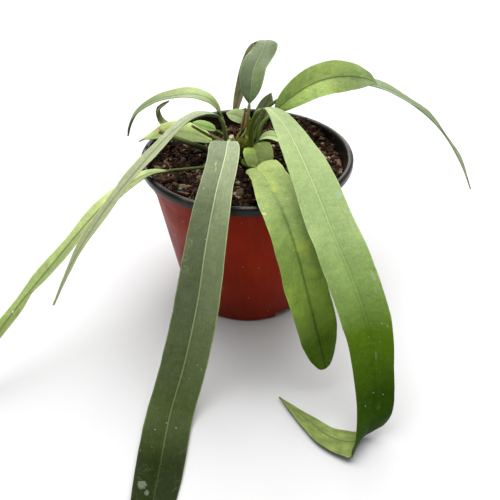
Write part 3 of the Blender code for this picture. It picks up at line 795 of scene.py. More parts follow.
def pot_profile():
    """The pot's closed section, from the middle of the floor up the inside and down outside."""
    lip_arc = LIP_WIDTH / 2
    lip_top = POT_HEIGHT - lip_arc
    lip_foot = POT_HEIGHT - LIP_HEIGHT
    collar_foot = POT_HEIGHT - COLLAR_DROP
    corner = FOOT_RADIUS - WALL - FLOOR_FILLET
    inside = [
        (0.0, FLOOR),
        (corner, FLOOR),
        *arc((corner, FLOOR + FLOOR_FILLET), FLOOR_FILLET, -60.0, 0.0, 4),
        (wall_radius(collar_foot - 2.0) - WALL, collar_foot - 2.0),
        (COLLAR_RADIUS - WALL, collar_foot + 1.0),
        (RIM_RADIUS - LIP_WIDTH, lip_top - THROAT_DROP),
    ]
    lip = arc((RIM_RADIUS - lip_arc, lip_top), lip_arc, 180.0, 0.0, 12)
    outside = [
        (RIM_RADIUS, lip_foot + 1.0),
        (RIM_RADIUS - 0.3, lip_foot + 0.3),
        (RIM_RADIUS - 1.0, lip_foot),
        (COLLAR_TOP_RADIUS, lip_foot),
        (COLLAR_RADIUS + 0.15, collar_foot + 0.8),
        (COLLAR_RADIUS - 0.2, collar_foot + 0.1),
        (BODY_TOP_RADIUS + 0.1, collar_foot - 0.5),
        (wall_radius(collar_foot - 1.4), collar_foot - 1.4),
        (wall_radius(FOOT_BAND + 0.5), FOOT_BAND + 0.5),
        (wall_radius(FOOT_BAND) - FOOT_STEP * 0.5, FOOT_BAND),
        (wall_radius(FOOT_BAND) - FOOT_STEP, FOOT_BAND - 0.6),
        *arc((FOOT_RADIUS - 2.2, 1.6), 1.6, 0.0, -90.0, 4),
        (0.0, 0.0),
    ]
    return inside + lip + outside


def drain_cutter():
    """The slots at the foot of the wall and the round holes in the floor, in one mesh."""
    bm = bmesh.new()
    shift = Matrix.Translation((FOOT_RADIUS, 0.0, SLOT_HEIGHT / 2 - 1.0))
    size = Matrix.Diagonal((SLOT_DEPTH * 2, SLOT_WIDTH, SLOT_HEIGHT + 2.0, 1.0))
    for i in range(SLOT_COUNT):
        bearing = math.radians(SLOT_FIRST + 360.0 * i / SLOT_COUNT)
        turn = Matrix.Rotation(bearing, 4, "Z")
        along = turn @ Vector((1.0, 0.0, 0.0))
        made = bmesh.ops.create_cube(bm, size=1.0, matrix=turn @ shift @ size)
        corners = [
            e
            for e in {e for v in made["verts"] for e in v.link_edges}
            if abs((e.verts[0].co - e.verts[1].co).normalized().dot(along)) > 0.9
        ]
        bmesh.ops.bevel(
            bm, geom=corners, offset=SLOT_CORNER, segments=3, profile=0.5, affect="EDGES",
            material=-1, offset_type="OFFSET",
        )
    for i in range(HOLE_COUNT):
        bearing = math.radians(HOLE_FIRST + 360.0 * i / HOLE_COUNT)
        at = Vector((math.cos(bearing), math.sin(bearing), 0.0)) * HOLE_CIRCLE
        bmesh.ops.create_cone(
            bm, cap_ends=True, segments=32, radius1=HOLE_RADIUS, radius2=HOLE_RADIUS,
            depth=FLOOR * 4, matrix=Matrix.Translation(at),
        )
    return bm


def cut_away(made, bm):
    """Cut a piece with a mesh in millimetres, and keep only the result."""
    tool = in_metres("cutter", bm)
    modifier = made.modifiers.new("cut", "BOOLEAN")
    modifier.operation = "DIFFERENCE"
    modifier.object = tool
    modifier.solver = "EXACT"
    shown = made.evaluated_get(bpy.context.evaluated_depsgraph_get())
    result = bpy.data.meshes.new_from_object(shown)
    made.modifiers.clear()
    spent = (made.data, tool.data)
    made.data = result
    bpy.data.objects.remove(tool)
    for mesh in spent:
        bpy.data.meshes.remove(mesh)


def pot_finish(settings):
    """Terracotta-red plastic with flow marks, scuffs and a little dust, and painted shade
    towards its foot.
    """
    make = Finish("pot_body_plastic", roughness=0.42, specular=0.06)
    place = make.coordinates()
    cloud = make.noise(place, 22.0, detail=4.0, rough=0.6)
    flow = make.noise(make.scaled(place, (160.0, 160.0, 9.0)), 1.0, detail=3.0)
    red = settings.body
    colour = make.mix(make.between(cloud, 0.3, 0.7), shaded(red, 0.78), shaded(red, 1.22))
    colour = make.mix(make.between(flow, 0.45, 0.75, 0.0, 0.22), colour, (0.42, 0.06, 0.012))
    # Painted shade: the wall darkens towards its foot.
    height = make.parts(place)[2]
    colour = make.mix(make.between(height, 0.085, 0.0, 0.0, 0.45), colour, (0.105, 0.01, 0.004))
    smudge = make.noise(place, 55.0, detail=6.0, rough=0.7, twist=0.6)
    film = make.between(smudge, 0.56, 0.78, 0.0, 0.12 * settings.dust)
    colour = make.mix(film, colour, (0.42, 0.14, 0.07))
    pale = (0.62, 0.5, 0.42)
    colour = make.dotted(settings.dust, colour, pale, place, 260.0, (0.17, 0.11), 0.93)
    grain = make.noise(place, 900.0, detail=2.0)
    dents = make.noise(make.scaled(place, (1.0, 1.0, 0.35)), 60.0, detail=2.0)
    bent = make.bump(dents, 0.0006, 0.5)
    bent = make.bump(grain, 0.00006, 0.5, bent)
    rough = make.plus(make.between(smudge, 0.3, 0.8, 0.36, 0.56), film)
    return make.done(colour, bent, rough)


def lip_finish(settings):
    """Black plastic with dusty upper faces and fine scratches."""
    make = Finish("pot_lip_plastic", roughness=0.3, specular=0.24)
    place = make.coordinates()
    cloud = make.noise(place, 60.0, detail=5.0, rough=0.65)
    black = tuple(settings.lip)
    colour = make.mix(make.between(cloud, 0.3, 0.7), black, shaded(black, 2.2))
    ring = make.scaled(place, (30.0, 30.0, 700.0))
    scratch = make.noise(ring, 1.0, detail=4.0, rough=0.7)
    film = make.between(cloud, 0.52, 0.75, 0.0, 0.16 * settings.dust)
    colour = make.mix(film, colour, (0.28, 0.18, 0.12))
    pale = (0.4, 0.32, 0.24)
    colour = make.dotted(settings.dust, colour, pale, place, 330.0, (0.2, 0.12), 0.9)
    bent = make.bump(scratch, 0.00012, 0.5)
    bent = make.bump(make.noise(place, 700.0, detail=2.0), 0.00005, 0.5, bent)
    rough = make.plus(make.between(scratch, 0.3, 0.7, 0.2, 0.34), film)
    return make.done(colour, bent, rough)


def build_pot(settings):
    """The nursery pot: red body outside, black lip and inside, slots and holes below."""
    finishes = (pot_finish(settings), lip_finish(settings))
    body = spun(pot_profile(), POT_TURNS)
    made = make_piece("nursery_pot", body, finishes, "pot_plastic", "pot")
    cut_away(made, drain_cutter())
    lip_foot = (POT_HEIGHT - LIP_HEIGHT - 0.2) * MM
    for face in made.data.polygons:
        centre = face.center
        out = Vector((centre.x, centre.y, 0.0)).normalized()
        upper = centre.z > lip_foot
        floor_top = face.normal.z > 0.5
        facing_in = face.normal.dot(out) < -0.2 and centre.z > (FLOOR + 0.5) * MM
        face.material_index = 1 if upper or facing_in or floor_top else 0
    made.data.set_sharp_from_angle(angle=math.radians(35))


def soil_height(x, y):
    """Height of the bark mix: a level bed, a heap at the back right, and chips."""
    heap = HEAP_HEIGHT * bell(math.hypot(x - HEAP_AT[0], y - HEAP_AT[1]) / HEAP_SPREAD)
    distances, _ = noise.voronoi(Vector((x, y, 0.0)) / CHIP_SIZE)
    chips = CHIP_HEIGHT * (0.45 - distances[0])
    near_crown = math.hypot(x - CROWN_AT[0], y - CROWN_AT[1])
    return SOIL_LEVEL + heap + chips * min(1.0, near_crown / CALM_RADIUS)


def crumbly_height(x, y):
    """The bark mix with its small lumps and hollows."""
    lumps, _ = noise.voronoi(Vector((x, y, 5.0)) / LUMP_SIZE)
    grit = noise.fractal(Vector((x, y, 9.0)) / GRIT_SIZE, 1.0, 2.0, 3)
    raised = LUMP_HEIGHT * (0.5 - lumps[0])
    return soil_height(x, y) + raised + GRIT_HEIGHT * grit - SURFACE_DROP


def soil_finish():
    """Dark bark mix whose near-black is partly its own colour and partly painted shade in its
    gaps.
    """
    make = Finish("bark_mix_body", roughness=0.9, specular=0.05)
    place = make.coordinates()
    cloud = make.noise(place, 160.0, detail=6.0, rough=0.65)
    # The browns and the grain below run down to near-black: partly the mix's own colour, partly
    # painted shade in the gaps between crumbs.
    browns = (
        (0.3, (0.008, 0.004, 0.003)), (0.5, (0.028, 0.014, 0.007)),
        (0.68, (0.065, 0.034, 0.018)), (0.85, (0.14, 0.085, 0.045)),
    )
    colour = make.ramp(cloud, browns)
    grain = make.noise(place, 520.0, detail=5.0, rough=0.7)
    colour = make.mix(make.between(grain, 0.35, 0.65), (0.008, 0.005, 0.004), colour)
    bent = make.bump(grain, 0.0009, 0.8)
    return make.done(colour, bent, make.between(cloud, 0.3, 0.8, 0.8, 0.97))


def scrap_finish():
    """Crumbs, flakes and fibres, each in its own tone with a woody grain."""
    make = Finish("bark_scraps", roughness=0.85, specular=0.06)
    tone = make.node("ShaderNodeAttribute", {}, attribute_name="tone").outputs["Color"]
    place = make.coordinates()
    grain = make.noise(make.scaled(place, (900.0, 900.0, 250.0)), 1.0, detail=4.0, rough=0.65)
    colour = make.mix(make.between(grain, 0.3, 0.7, 0.0, 0.75), tone, (0.012, 0.007, 0.005))
    cloud = make.noise(place, 260.0, detail=3.0)
    colour = make.mix(make.between(cloud, 0.5, 0.75, 0.0, 0.3), colour, (0.16, 0.1, 0.065))
    bent = make.bump(grain, 0.0004, 0.7)
    return make.done(colour, bent, make.between(cloud, 0.3, 0.7, 0.72, 0.95))


def bead_finish():
    """Coated fertiliser beads, a dusty blue-green."""
    make = Finish("fertiliser_bead", roughness=0.4, specular=0.4)
    place = make.coordinates()
    cloud = make.noise(place, 700.0, detail=4.0, rough=0.6)
    colour = make.mix(make.between(cloud, 0.3, 0.7), (0.012, 0.14, 0.085), (0.04, 0.27, 0.17))
    bent = make.bump(cloud, 0.0002, 0.5)
    return make.done(colour, bent, make.between(cloud, 0.3, 0.7, 0.32, 0.5))


def perlite_finish():
    """Grains of perlite, off-white and pitted."""
    make = Finish("perlite", roughness=0.9, specular=0.2)
    place = make.coordinates()
    pits = make.noise(place, 900.0, detail=5.0, rough=0.7)
    colour = make.mix(make.between(pits, 0.35, 0.6), (0.22, 0.14, 0.095), (0.62, 0.46, 0.35))
    bent = make.bump(pits, 0.0005, 0.8)
    return make.done(colour, bent, make.between(pits, 0.3, 0.7, 0.85, 0.98))


def jitter(verts, centre, amount, rng):
    """Push a scrap's corners about so that no two scraps are alike."""
    for vert in verts:
        vert.co = centre + (vert.co - centre) * rng.uniform(1.0 - amount, 1.0 + amount)


def scrap_tone(rng):
    """A bark colour: mostly dark, now and then tan or reddish."""
    pick = rng.random()
    light = rng.uniform(0.7, 1.35)
    if pick < 0.42:
        tone = (0.014, 0.007, 0.004)
    elif pick < 0.72:
        tone = (0.058, 0.028, 0.014)
    elif pick < 0.89:
        tone = (0.14, 0.072, 0.038)
    else:
        tone = (0.4, 0.28, 0.165)
    return shaded(tone, light)


def dress(bm, made, slot, tone=(0.0, 0.0, 0.0)):
    """Give a scrap its material and tone, and keep it inside the pot."""
    layer = bm.loops.layers.float_color["tone"]
    for vert in made:
        away = math.hypot(vert.co.x, vert.co.y)
        limit = inner_radius(vert.co.z) - WALL_CLEARANCE
        if away > limit and vert.co.z < POT_HEIGHT + 1.0:
            keep_within(vert.co, limit)
    for face in {f for vert in made for f in vert.link_faces}:
        face.material_index = slot
        for loop in face.loops:
            loop[layer] = (*tone, 1.0)


def turned_about(rng, flat=1.0):
    """A random turn, kept near level where flat is small."""
    spin = Matrix.Rotation(rng.uniform(0.0, math.tau), 4, "Z")
    tilt = Matrix.Rotation(rng.gauss(0.0, 0.9) * flat, 4, "X")
    return spin @ tilt @ Matrix.Rotation(rng.uniform(0.0, math.tau), 4, "Z")


def laid(at, stretch, rng, flat=1.0):
    """The matrix of a scrap that is stretched, turned about and laid at a place."""
    return Matrix.Translation(at) @ turned_about(rng, flat) @ Matrix.Diagonal((*stretch, 1.0))


def crumb(bm, x, y, size, rng):
    """A lump of bark, knobblier where it is large."""
    at = Vector((x, y, crumbly_height(x, y) + size * rng.uniform(0.0, 0.5)))
    where = laid(at, (size * 1.3, size, size * rng.uniform(0.5, 0.9)), rng)
    parts = 2 if size > 1.9 else 1
    made = bmesh.ops.create_icosphere(bm, subdivisions=parts, radius=1.0, matrix=where)["verts"]
    jitter(made, at, 0.35 if parts == 1 else 0.26, rng)
    shade = 1.0 - 0.55 * held((size - 1.5) / 0.9)
    dress(bm, made, 1, shaded(scrap_tone(rng), shade))


def flake(bm, x, y, size, rng):
    """A flat chip of bark."""
    thick = rng.uniform(0.25, 0.5) * min(size, 2.2)
    at = Vector((x, y, crumbly_height(x, y) + thick * 0.6))
    where = laid(at, (size * 2.2, size * rng.uniform(0.7, 1.3), thick * 2.0), rng, 0.45)
    made = bmesh.ops.create_cube(bm, size=1.0, matrix=where)["verts"]
    jitter(made, at, 0.3, rng)
    dress(bm, made, 1, scrap_tone(rng) if size < 3.5 else CHIP_TONE)


def fibre(bm, x, y, length, rng):
    """A thread of root or bark that lies on the mix."""
    radius = rng.uniform(0.16, 0.35)
    bend = rng.uniform(-0.5, 0.5)
    heading = rng.uniform(0.0, math.tau)
    points = []
    for i in range(5):
        along = length * (i / 4 - 0.5)
        turn = heading + bend * (i / 4)
        px, py = x + along * math.cos(turn), y + along * math.sin(turn)
        shrink = min(1.0, FIBRE_RADIUS / max(math.hypot(px, py), 1.0))
        px, py = px * shrink, py * shrink
        points.append(Vector((px, py, crumbly_height(px, py) + radius + rng.uniform(0.0, 0.9))))
    faces = strand(bm, points, [radius * 0.5, radius, radius, radius, radius * 0.4], 4)
    tone = rng.choice(((0.33, 0.22, 0.12), (0.16, 0.1, 0.06), (0.06, 0.036, 0.024)))
    dress(bm, {v for f in faces for v in f.verts}, 1, tone)


def bead(bm, x, y, size, rng):
    """A bead of coated fertiliser."""
    at = Vector((x, y, crumbly_height(x, y) + size * 0.9))
    where = laid(at, (1.0, 0.95, 0.9), rng)
    made = bmesh.ops.create_icosphere(bm, subdivisions=3, radius=size, matrix=where)
    dress(bm, made["verts"], 2)


def grain(bm, x, y, size, rng):
    """A grain of perlite."""
    at = Vector((x, y, crumbly_height(x, y) + size * 0.6))
    where = laid(at, (size * 1.25, size, size * 0.85), rng)
    made = bmesh.ops.create_icosphere(bm, subdivisions=2, radius=1.0, matrix=where)["verts"]
    jitter(made, at, 0.13, rng)
    dress(bm, made, 3)


def scatter(bm, jobs, rng, batch=40):
    """Make many small shapes, each job a function and its place and size. They are made a few
    at a time in a mesh of their own, because an operator runs over the whole of its mesh."""
    for first in range(0, len(jobs), batch):
        few = bmesh.new()
        few.loops.layers.float_color.new("tone")
        few.loops.layers.uv.verify()
        for make, x, y, size in jobs[first : first + batch]:
            make(few, x, y, size, rng)
        mesh = mesh_of("batch", few)
        bm.from_mesh(mesh)
        bpy.data.meshes.remove(mesh)


def scatter_point(rng):
    """A point on the bark mix, clear of the wall and the crown."""
    while True:
        bearing = rng.uniform(0.0, math.tau)
        away = SCATTER_RADIUS * math.sqrt(rng.random())
        x, y = away * math.cos(bearing), away * math.sin(bearing)
        if math.hypot(x - CROWN_AT[0], y - CROWN_AT[1]) > CROWN_RADIUS + 1.0:
            return x, y


def soil_body():
    """The bark mix as one closed body, crumbly on top."""
    floor = FLOOR + SOIL_GAP
    body_top = POT_HEIGHT - COLLAR_DROP - 3.0
    edge = inner_radius(SOIL_LEVEL) - SOIL_GAP
    rings = [(edge * i / SOIL_RINGS, SOIL_LEVEL) for i in range(SOIL_RINGS + 1)]
    sides = [
        (inner_radius(body_top) - SOIL_GAP - 0.2, body_top),
        (FOOT_RADIUS - WALL - SOIL_GAP - 0.2, FLOOR + 4.0),
        (FOOT_RADIUS - WALL - 4.0, floor),
        (0.0, floor),
    ]
    bm = spun(rings + sides, SOIL_TURNS)
    for vert in bm.verts:
        if vert.co.z > SOIL_LEVEL - 0.01:
            top = crumbly_height(vert.co.x, vert.co.y)
            if math.hypot(vert.co.x, vert.co.y) > edge - 0.01:
                keep_within(vert.co, inner_radius(top) - SOIL_GAP)
            vert.co.z = top
    bm.loops.layers.float_color.new("tone")
    return bm


def build_soil(settings):
    """The bark mix with its scraps, beads and perlite."""
    rng = random.Random(settings.seed)
    bm = soil_body()
    jobs = [(crumb, *scatter_point(rng), rng.uniform(2.4, 3.8)) for _ in range(settings.lumps)]
    for _ in range(settings.crumbs):
        size = rng.uniform(0.5, 1.0) * rng.choice((0.9, 1.2, 1.6, 2.2, 3.0))
        jobs.append((crumb, *scatter_point(rng), size))
    jobs += [(flake, *scatter_point(rng), rng.uniform(1.2, 3.4)) for _ in range(settings.flakes)]
    jobs += [(fibre, *scatter_point(rng), rng.uniform(4.0, 11.0)) for _ in range(settings.fibres)]
    jobs += [(flake, *chip) for chip in FLAT_CHIPS]
    jobs += [(bead, *place) for place in BEADS]
    jobs += [(grain, *place) for place in PERLITE]
    jobs += [(grain, *scatter_point(rng), rng.uniform(0.5, 1.0)) for _ in range(LOOSE_GRAINS)]
    scatter(bm, jobs, rng)
    finishes = (soil_finish(), scrap_finish(), bead_finish(), perlite_finish())
    make_piece("bark_mix", bm, finishes, "bark_mix", "soil", sharp=50.0)


def heading_frame(bearing):
    """The outward and leftward unit vectors of a bearing in degrees."""
    a = math.radians(bearing)
    return Vector((math.cos(a), math.sin(a), 0.0)), Vector((-math.sin(a), math.cos(a), 0.0))


def crown_radius(height):
    """Radius of the crown where a stalk meets it."""
    if height <= CROWN_SHOULDER:
        return CROWN_RADIUS
    share = (height - CROWN_SHOULDER) / (CROWN_TOP - CROWN_DOME - CROWN_SHOULDER)
    return CROWN_RADIUS - 0.3 - (CROWN_RADIUS * 0.2 - 0.3) * min(1.0, share)


def route_points(spec, stalk_radius):
    """The foot on the crown, where the stalk leans away from it, and the route's own points,
    each as (point, roll, swing)."""
    axis = Vector((*CROWN_AT, 0.0))
    bearing, height = spec.foot
    foot_out, _ = heading_frame(bearing)
    out, aside = heading_frame(spec.heading)
    points = []
    for row in spec.route:
        along, up, left, roll, swing = (*row, 0.0, 0.0, 0.0)[:5]
        points.append((axis + out * along + aside * left + Vector((0.0, 0.0, up)), roll, swing))
    first, first_roll, _ = points[0]
    seat = axis + Vector((0.0, 0.0, height)) + foot_out * (crown_radius(height) + SEAT_GAP)
    leaving = (foot_out + (first - seat).normalized()).normalized()
    start = seat + foot_out * (stalk_radius * foot_out.cross(leaving).length)
    return [(start, first_roll, 0.0), (start + leaving * FOOT_LEAN, first_roll, 0.0), *points]


def curve_point(points, i, t):
    """A point between points i and i + 1 of a smooth curve through them all."""
    p1, p2 = points[i], points[i + 1]
    p0 = points[i - 1] if i > 0 else p1 * 2 - p2
    p3 = points[i + 2] if i + 2 < len(points) else p2 * 2 - p1
    spans = (p1 - p0, p2 - p1, p3 - p2)
    k0, k1, k2 = (max(span.length, 1e-6) ** 0.5 for span in spans)
    m1 = (p2 - p1) + ((p1 - p0) / k0 - (p2 - p0) / (k0 + k1)) * k1
    m2 = (p2 - p1) + ((p3 - p2) / k2 - (p3 - p1) / (k1 + k2)) * k1
    a = (p1 - p2) * 2 + m1 + m2
    b = (p1 - p2) * -3 - m1 * 2 - m2
    return a * t**3 + b * t**2 + m1 * t + p1


class Route:
    """A smooth curve read by length, with a frame that turns as little as it can."""

    SAMPLES = 12

    def __init__(self, rows, heading):
        points = [row[0] for row in rows]
        self.places = []
        self.lengths = [0.0]
        for i in range(len(points) - 1):
            for j in range(self.SAMPLES):
                self.places.append(curve_point(points, i, j / self.SAMPLES))
        self.places.append(points[-1])
        for a, b in zip(self.places, self.places[1:]):
            self.lengths.append(self.lengths[-1] + (b - a).length)
        self.knots = [self.lengths[i * self.SAMPLES] for i in range(len(points))]
        self.rolls = [row[1] for row in rows]
        self.swings = [row[2] for row in rows]
        self.length = self.lengths[-1]
        self.sides = self.transport(heading)

    def tangent(self, i):
        """Direction of travel at sample i."""
        lo, hi = max(i - 1, 0), min(i + 1, len(self.places) - 1)
        return (self.places[hi] - self.places[lo]).normalized()

    def transport(self, heading):
        """The rightward side at every sample, carried along the curve without twist."""
        _, left = heading_frame(heading)
        side = -left
        sides = []
        for i in range(len(self.places)):
            along = self.tangent(i)
            side = (side - along * side.dot(along)).normalized()
            sides.append(side)
        return sides

    def eased(self, values, s):
        """A value at length s, eased between those of the route's own points."""
        for i in range(len(self.knots) - 1):
            if s <= self.knots[i + 1] or i == len(self.knots) - 2:
                span = max(self.knots[i + 1] - self.knots[i], 1e-6)
                t = held((s - self.knots[i]) / span)
                ease = t * t * (3.0 - 2.0 * t)
                return values[i] + (values[i + 1] - values[i]) * ease
        return values[-1]

    def frame(self, s):
        """Place, direction, side and upward normal at length s."""
        i = 0
        while i < len(self.lengths) - 2 and self.lengths[i + 1] < s:
            i += 1
        span = max(self.lengths[i + 1] - self.lengths[i], 1e-6)
        t = held((s - self.lengths[i]) / span)
        place = self.places[i].lerp(self.places[i + 1], t)
        along = self.tangent(i).lerp(self.tangent(i + 1), t).normalized()
        side = self.sides[i].lerp(self.sides[i + 1], t)
        side = (side - along * side.dot(along)).normalized()
        normal = side.cross(along)
        turn = Matrix.Rotation(math.radians(self.eased(self.rolls, s)), 3, along)
        swing = along * math.tan(math.radians(self.eased(self.swings, s)))
        return place, along, turn @ side + swing, turn @ normal


def outline(share, spec):
    """Half width of a blade as a share of its greatest, 0 at its base and 1 at its tip."""
    if share < spec.peak:
        return max(0.0, 1.0 - (1.0 - share / spec.peak) ** spec.base) ** spec.wedge
    return max(0.0, 1.0 - ((share - spec.peak) / (1.0 - spec.peak)) ** spec.tip) ** spec.blunt


def sheet(bm, columns, shares, point_at):
    """A grid whose corners are put where point_at(across, share) says, with UVs to match."""
    uv = bm.loops.layers.uv.verify()
    made = bmesh.ops.create_grid(bm, x_segments=columns, y_segments=len(shares) - 1, size=1.0)
    where = {}
    for i, vert in enumerate(made["verts"]):
        row, column = divmod(i, columns + 1)
        where[vert] = (column / columns, shares[row])
        vert.co = point_at(*where[vert])
    faces = list({f for v in made["verts"] for f in v.link_faces})
    for face in faces:
        for loop in face.loops:
            loop[uv].uv = where[loop.vert]
    return faces


def tube(bm, sides, shares, ring_at):
    """A closed tube whose rings are given by ring_at(share) as (place, side, normal, radius)."""
    rings = {share: ring_at(share) for share in shares}

    def point_at(across, share):
        place, side, normal, radius = rings[share]
        a = math.tau * across
        return place + side * (math.sin(a) * radius) - normal * (math.cos(a) * radius)

    faces = sheet(bm, sides, shares, point_at)
    bmesh.ops.remove_doubles(bm, verts=list({v for f in faces for v in f.verts}), dist=1e-4)
    faces = [f for f in faces if f.is_valid]
    open_edges = list({e for f in faces for e in f.edges if e.is_boundary})
    faces += bmesh.ops.holes_fill(bm, edges=open_edges, sides=sides)["faces"]
    bmesh.ops.recalc_face_normals(bm, faces=faces)
    return faces


def strand(bm, points, radii, sides):
    """A thin closed tube through a few points."""
    first, end = points[0], points[-1]
    heading = math.degrees(math.atan2(end.y - first.y, end.x - first.x))
    route = Route([(point, 0.0, 0.0) for point in points], heading)
    last = len(points) - 1

    def ring_at(share):
        knot = round(share * last)
        place, _, side, normal = route.frame(route.knots[knot])
        return place, side, normal, radii[knot]

    return tube(bm, sides, [i / last for i in range(last + 1)], ring_at)


def eased_shares(count, closeness=0.55):
    """Shares from 0 to 1 that lie closer together at both ends."""
    even = [i / count for i in range(count + 1)]
    return [t - closeness * math.sin(math.tau * t) / math.tau for t in even]


def blade_half_width(spec, share):
    """Half width of a blade at a share of its length."""
    across = outline(max(share, 0.004), spec)
    if share < spec.peak:
        rounded = math.sqrt(1.0 - (1.0 - min(1.0, share / BASE_ROUND)) ** 2)
        across = max(across, spec.opening * (1.0 if spec.lobes[0] else 0.2 + 0.8 * rounded))
    return max(spec.width / 2 * across, TIP_HALF_WIDTH)


def blade_point(spec, frame_at, across, s_on, start, share):
    """A point of a blade's upper face: a shallow gutter with waved and worn margins."""
    place, along, side, normal = frame_at
    u = 2.0 * across - 1.0
    s = start + s_on
    half = blade_half_width(spec, share)
    ragged = noise.noise(Vector((s / WEAR_LENGTH, 4.0 if u > 0.0 else -4.0, spec.heading)))
    fuller = spec.uneven * math.exp(-s_on / UNEVEN_RUN) * (-1.0 if u > 0.0 else 1.0)
    x = half * u * (1.0 + MARGIN_WEAR * spec.wave * ragged + fuller)
    if spec.bite:
        bite_side, at, reach, depth = spec.bite
        if u * bite_side > 0.0:
            x *= 1.0 - depth * abs(u) ** 3 * bell((share - at) / reach)
    wave = spec.wave * math.sin(s / WAVE_LENGTH + (0.9 if u > 0 else 0.0)) * u * u
    ripple = RIPPLE * u * u * noise.noise(Vector((s / RIPPLE_LENGTH, u * 1.5, spec.heading)))
    crease = (math.sqrt(u * u + 0.008) - 0.09) * half * math.tan(math.radians(spec.gutter))
    swell = SWELL * half * math.sin(math.pi * min(1.0, abs(u)))
    lift = crease + swell + (wave + ripple) * min(1.0, half / 6.0)
    if spec.droop:
        at, reach, depth = spec.droop
        lift -= depth * u * u * bell((share - at) / reach)
    near_base = max(0.0, 1.0 - s_on / LOBE_LENGTH)
    bulge = math.sqrt(max(0.0, 1.0 - (2.0 * abs(u) ** 0.85 - 1.0) ** 2))
    back = spec.lobes[u > 0.0] * bulge * near_base**2
    return place + side * x + normal * lift - along * back


def blade_sheet(bm, spec, route, start, settings):
    """The blade's upper face, smoothed where its margins are to be eased."""
    length = route.length - start
    shares = eased_shares(max(8, round(length / settings.step)))
    frames = {share: route.frame(start + length * share) for share in shares}

    def point_at(across, share):
        return blade_point(spec, frames[share], across, length * share, start, share)

    faces = sheet(bm, settings.columns, shares, point_at)
    if spec.eased:
        uv = bm.loops.layers.uv.verify()
        first, last = spec.eased
        places = {loop.vert: loop[uv].uv.y for f in faces for loop in f.loops}
        for i in range(EASE_ROUNDS):
            inset = EASE_STEP * i
            inner = [v for v, y in places.items() if first + inset < y < last - inset]
            bmesh.ops.smooth_vert(
                bm, verts=inner, factor=0.5, use_axis_x=True, use_axis_y=True, use_axis_z=True
            )
    return faces


def rib_and_stalk(bm, spec, route, start, settings):
    """The round stalk, which runs on under the blade as its rib."""
    radius = spec.stalk / 2
    count = max(10, round(route.length / (settings.step * 1.2)))
    joined = start / route.length

    def ring_at(share):
        s = share * route.length
        place, along, side, normal = route.frame(s)
        across = (side - along * side.dot(along)).normalized()
        if share < joined:
            size = radius * (1.0 - STALK_TAPER * share / joined)
            knee = KNEE_SWELL * bell((s - start) / KNEE_RUN)
            size *= 1.0 + FOOT_SWELL * bell(s / FOOT_RUN) + knee
        else:
            run = (share - joined) / (1.0 - joined)
            begin = radius * (1.0 - STALK_TAPER) * (1.0 + KNEE_SWELL)
            size = begin + (RIB_END_RADIUS - begin) * run**0.35
            size = min(size, blade_half_width(spec, run) * 0.55)
        sink = held((s - start + SINK_START) / SINK_RUN)
        offset = (LOOKS[spec.look].proud - size) * sink
        return place + normal * offset, across, normal, size

    return tube(bm, RIB_SIDES, [i / count for i in range(count + 1)], ring_at)


def leaf_coordinates(make, width, length):
    """A blade's own coordinates: its UV, the share across from the rib, and millimetres."""
    uv = make.coordinates("UV")
    flat = make.scaled(uv, (width, length, 1.0))
    across, along, _ = make.parts(uv)
    from_rib = make.apart(make.times(across, 2.0), 1.0)
    return flat, from_rib, along


def side_veins(make, flat, from_rib, width):
    """Fine side veins that leave the rib at a slant and join short of the margin."""
    along = make.parts(flat)[1]
    reach = make.times(from_rib, width * 0.5)
    drift = make.noise(flat, 0.09, detail=2.0)
    run = make.minus(along, make.times(reach, VEIN_SLANT))
    run = make.plus(make.math("DIVIDE", run, VEIN_SPACING), make.times(drift, 1.6))
    line = make.between(make.math("PINGPONG", run, 0.5), 0.075, 0.0)
    joining = make.between(make.apart(from_rib, 0.84), 0.035, 0.0)
    inner = make.times(line, make.between(from_rib, 0.9, 0.78))
    return make.math("MAXIMUM", inner, make.times(joining, 0.7))


def marked(make, colour, flat, marks, width, length):
    """Lay a leaf's own marks over its colour: spots, streaks, films and rings of dried water."""
    for kind, across, along, size, tint, strength in marks:
        stretch = 0.28 if kind == "streak" else 1.0
        centre = (across * width, along * length * stretch, 0.0)
        ragged = make.noise(flat, 1.3 / size, detail=4.0, rough=0.65)
        feeds = {0: make.scaled(flat, (1.0, stretch, 1.0)), 1: centre}
        offset = make.node("ShaderNodeVectorMath", feeds, operation="DISTANCE").outputs["Value"]
        away = make.plus(offset, make.times(make.minus(ragged, 0.5), size * 1.7))
        if kind == "ring":
            patchy = make.between(make.noise(flat, 0.7, detail=3.0), 0.4, 0.6, 0.2, strength)
            cover = make.times(make.between(make.apart(away, size), 0.5, 0.1), patchy)
        else:
            full = size * (0.7 if kind == "film" else 0.15)
            cover = make.between(away, size, full, 0.0, strength)
        colour = make.mix(cover, colour, tint)
    return colour


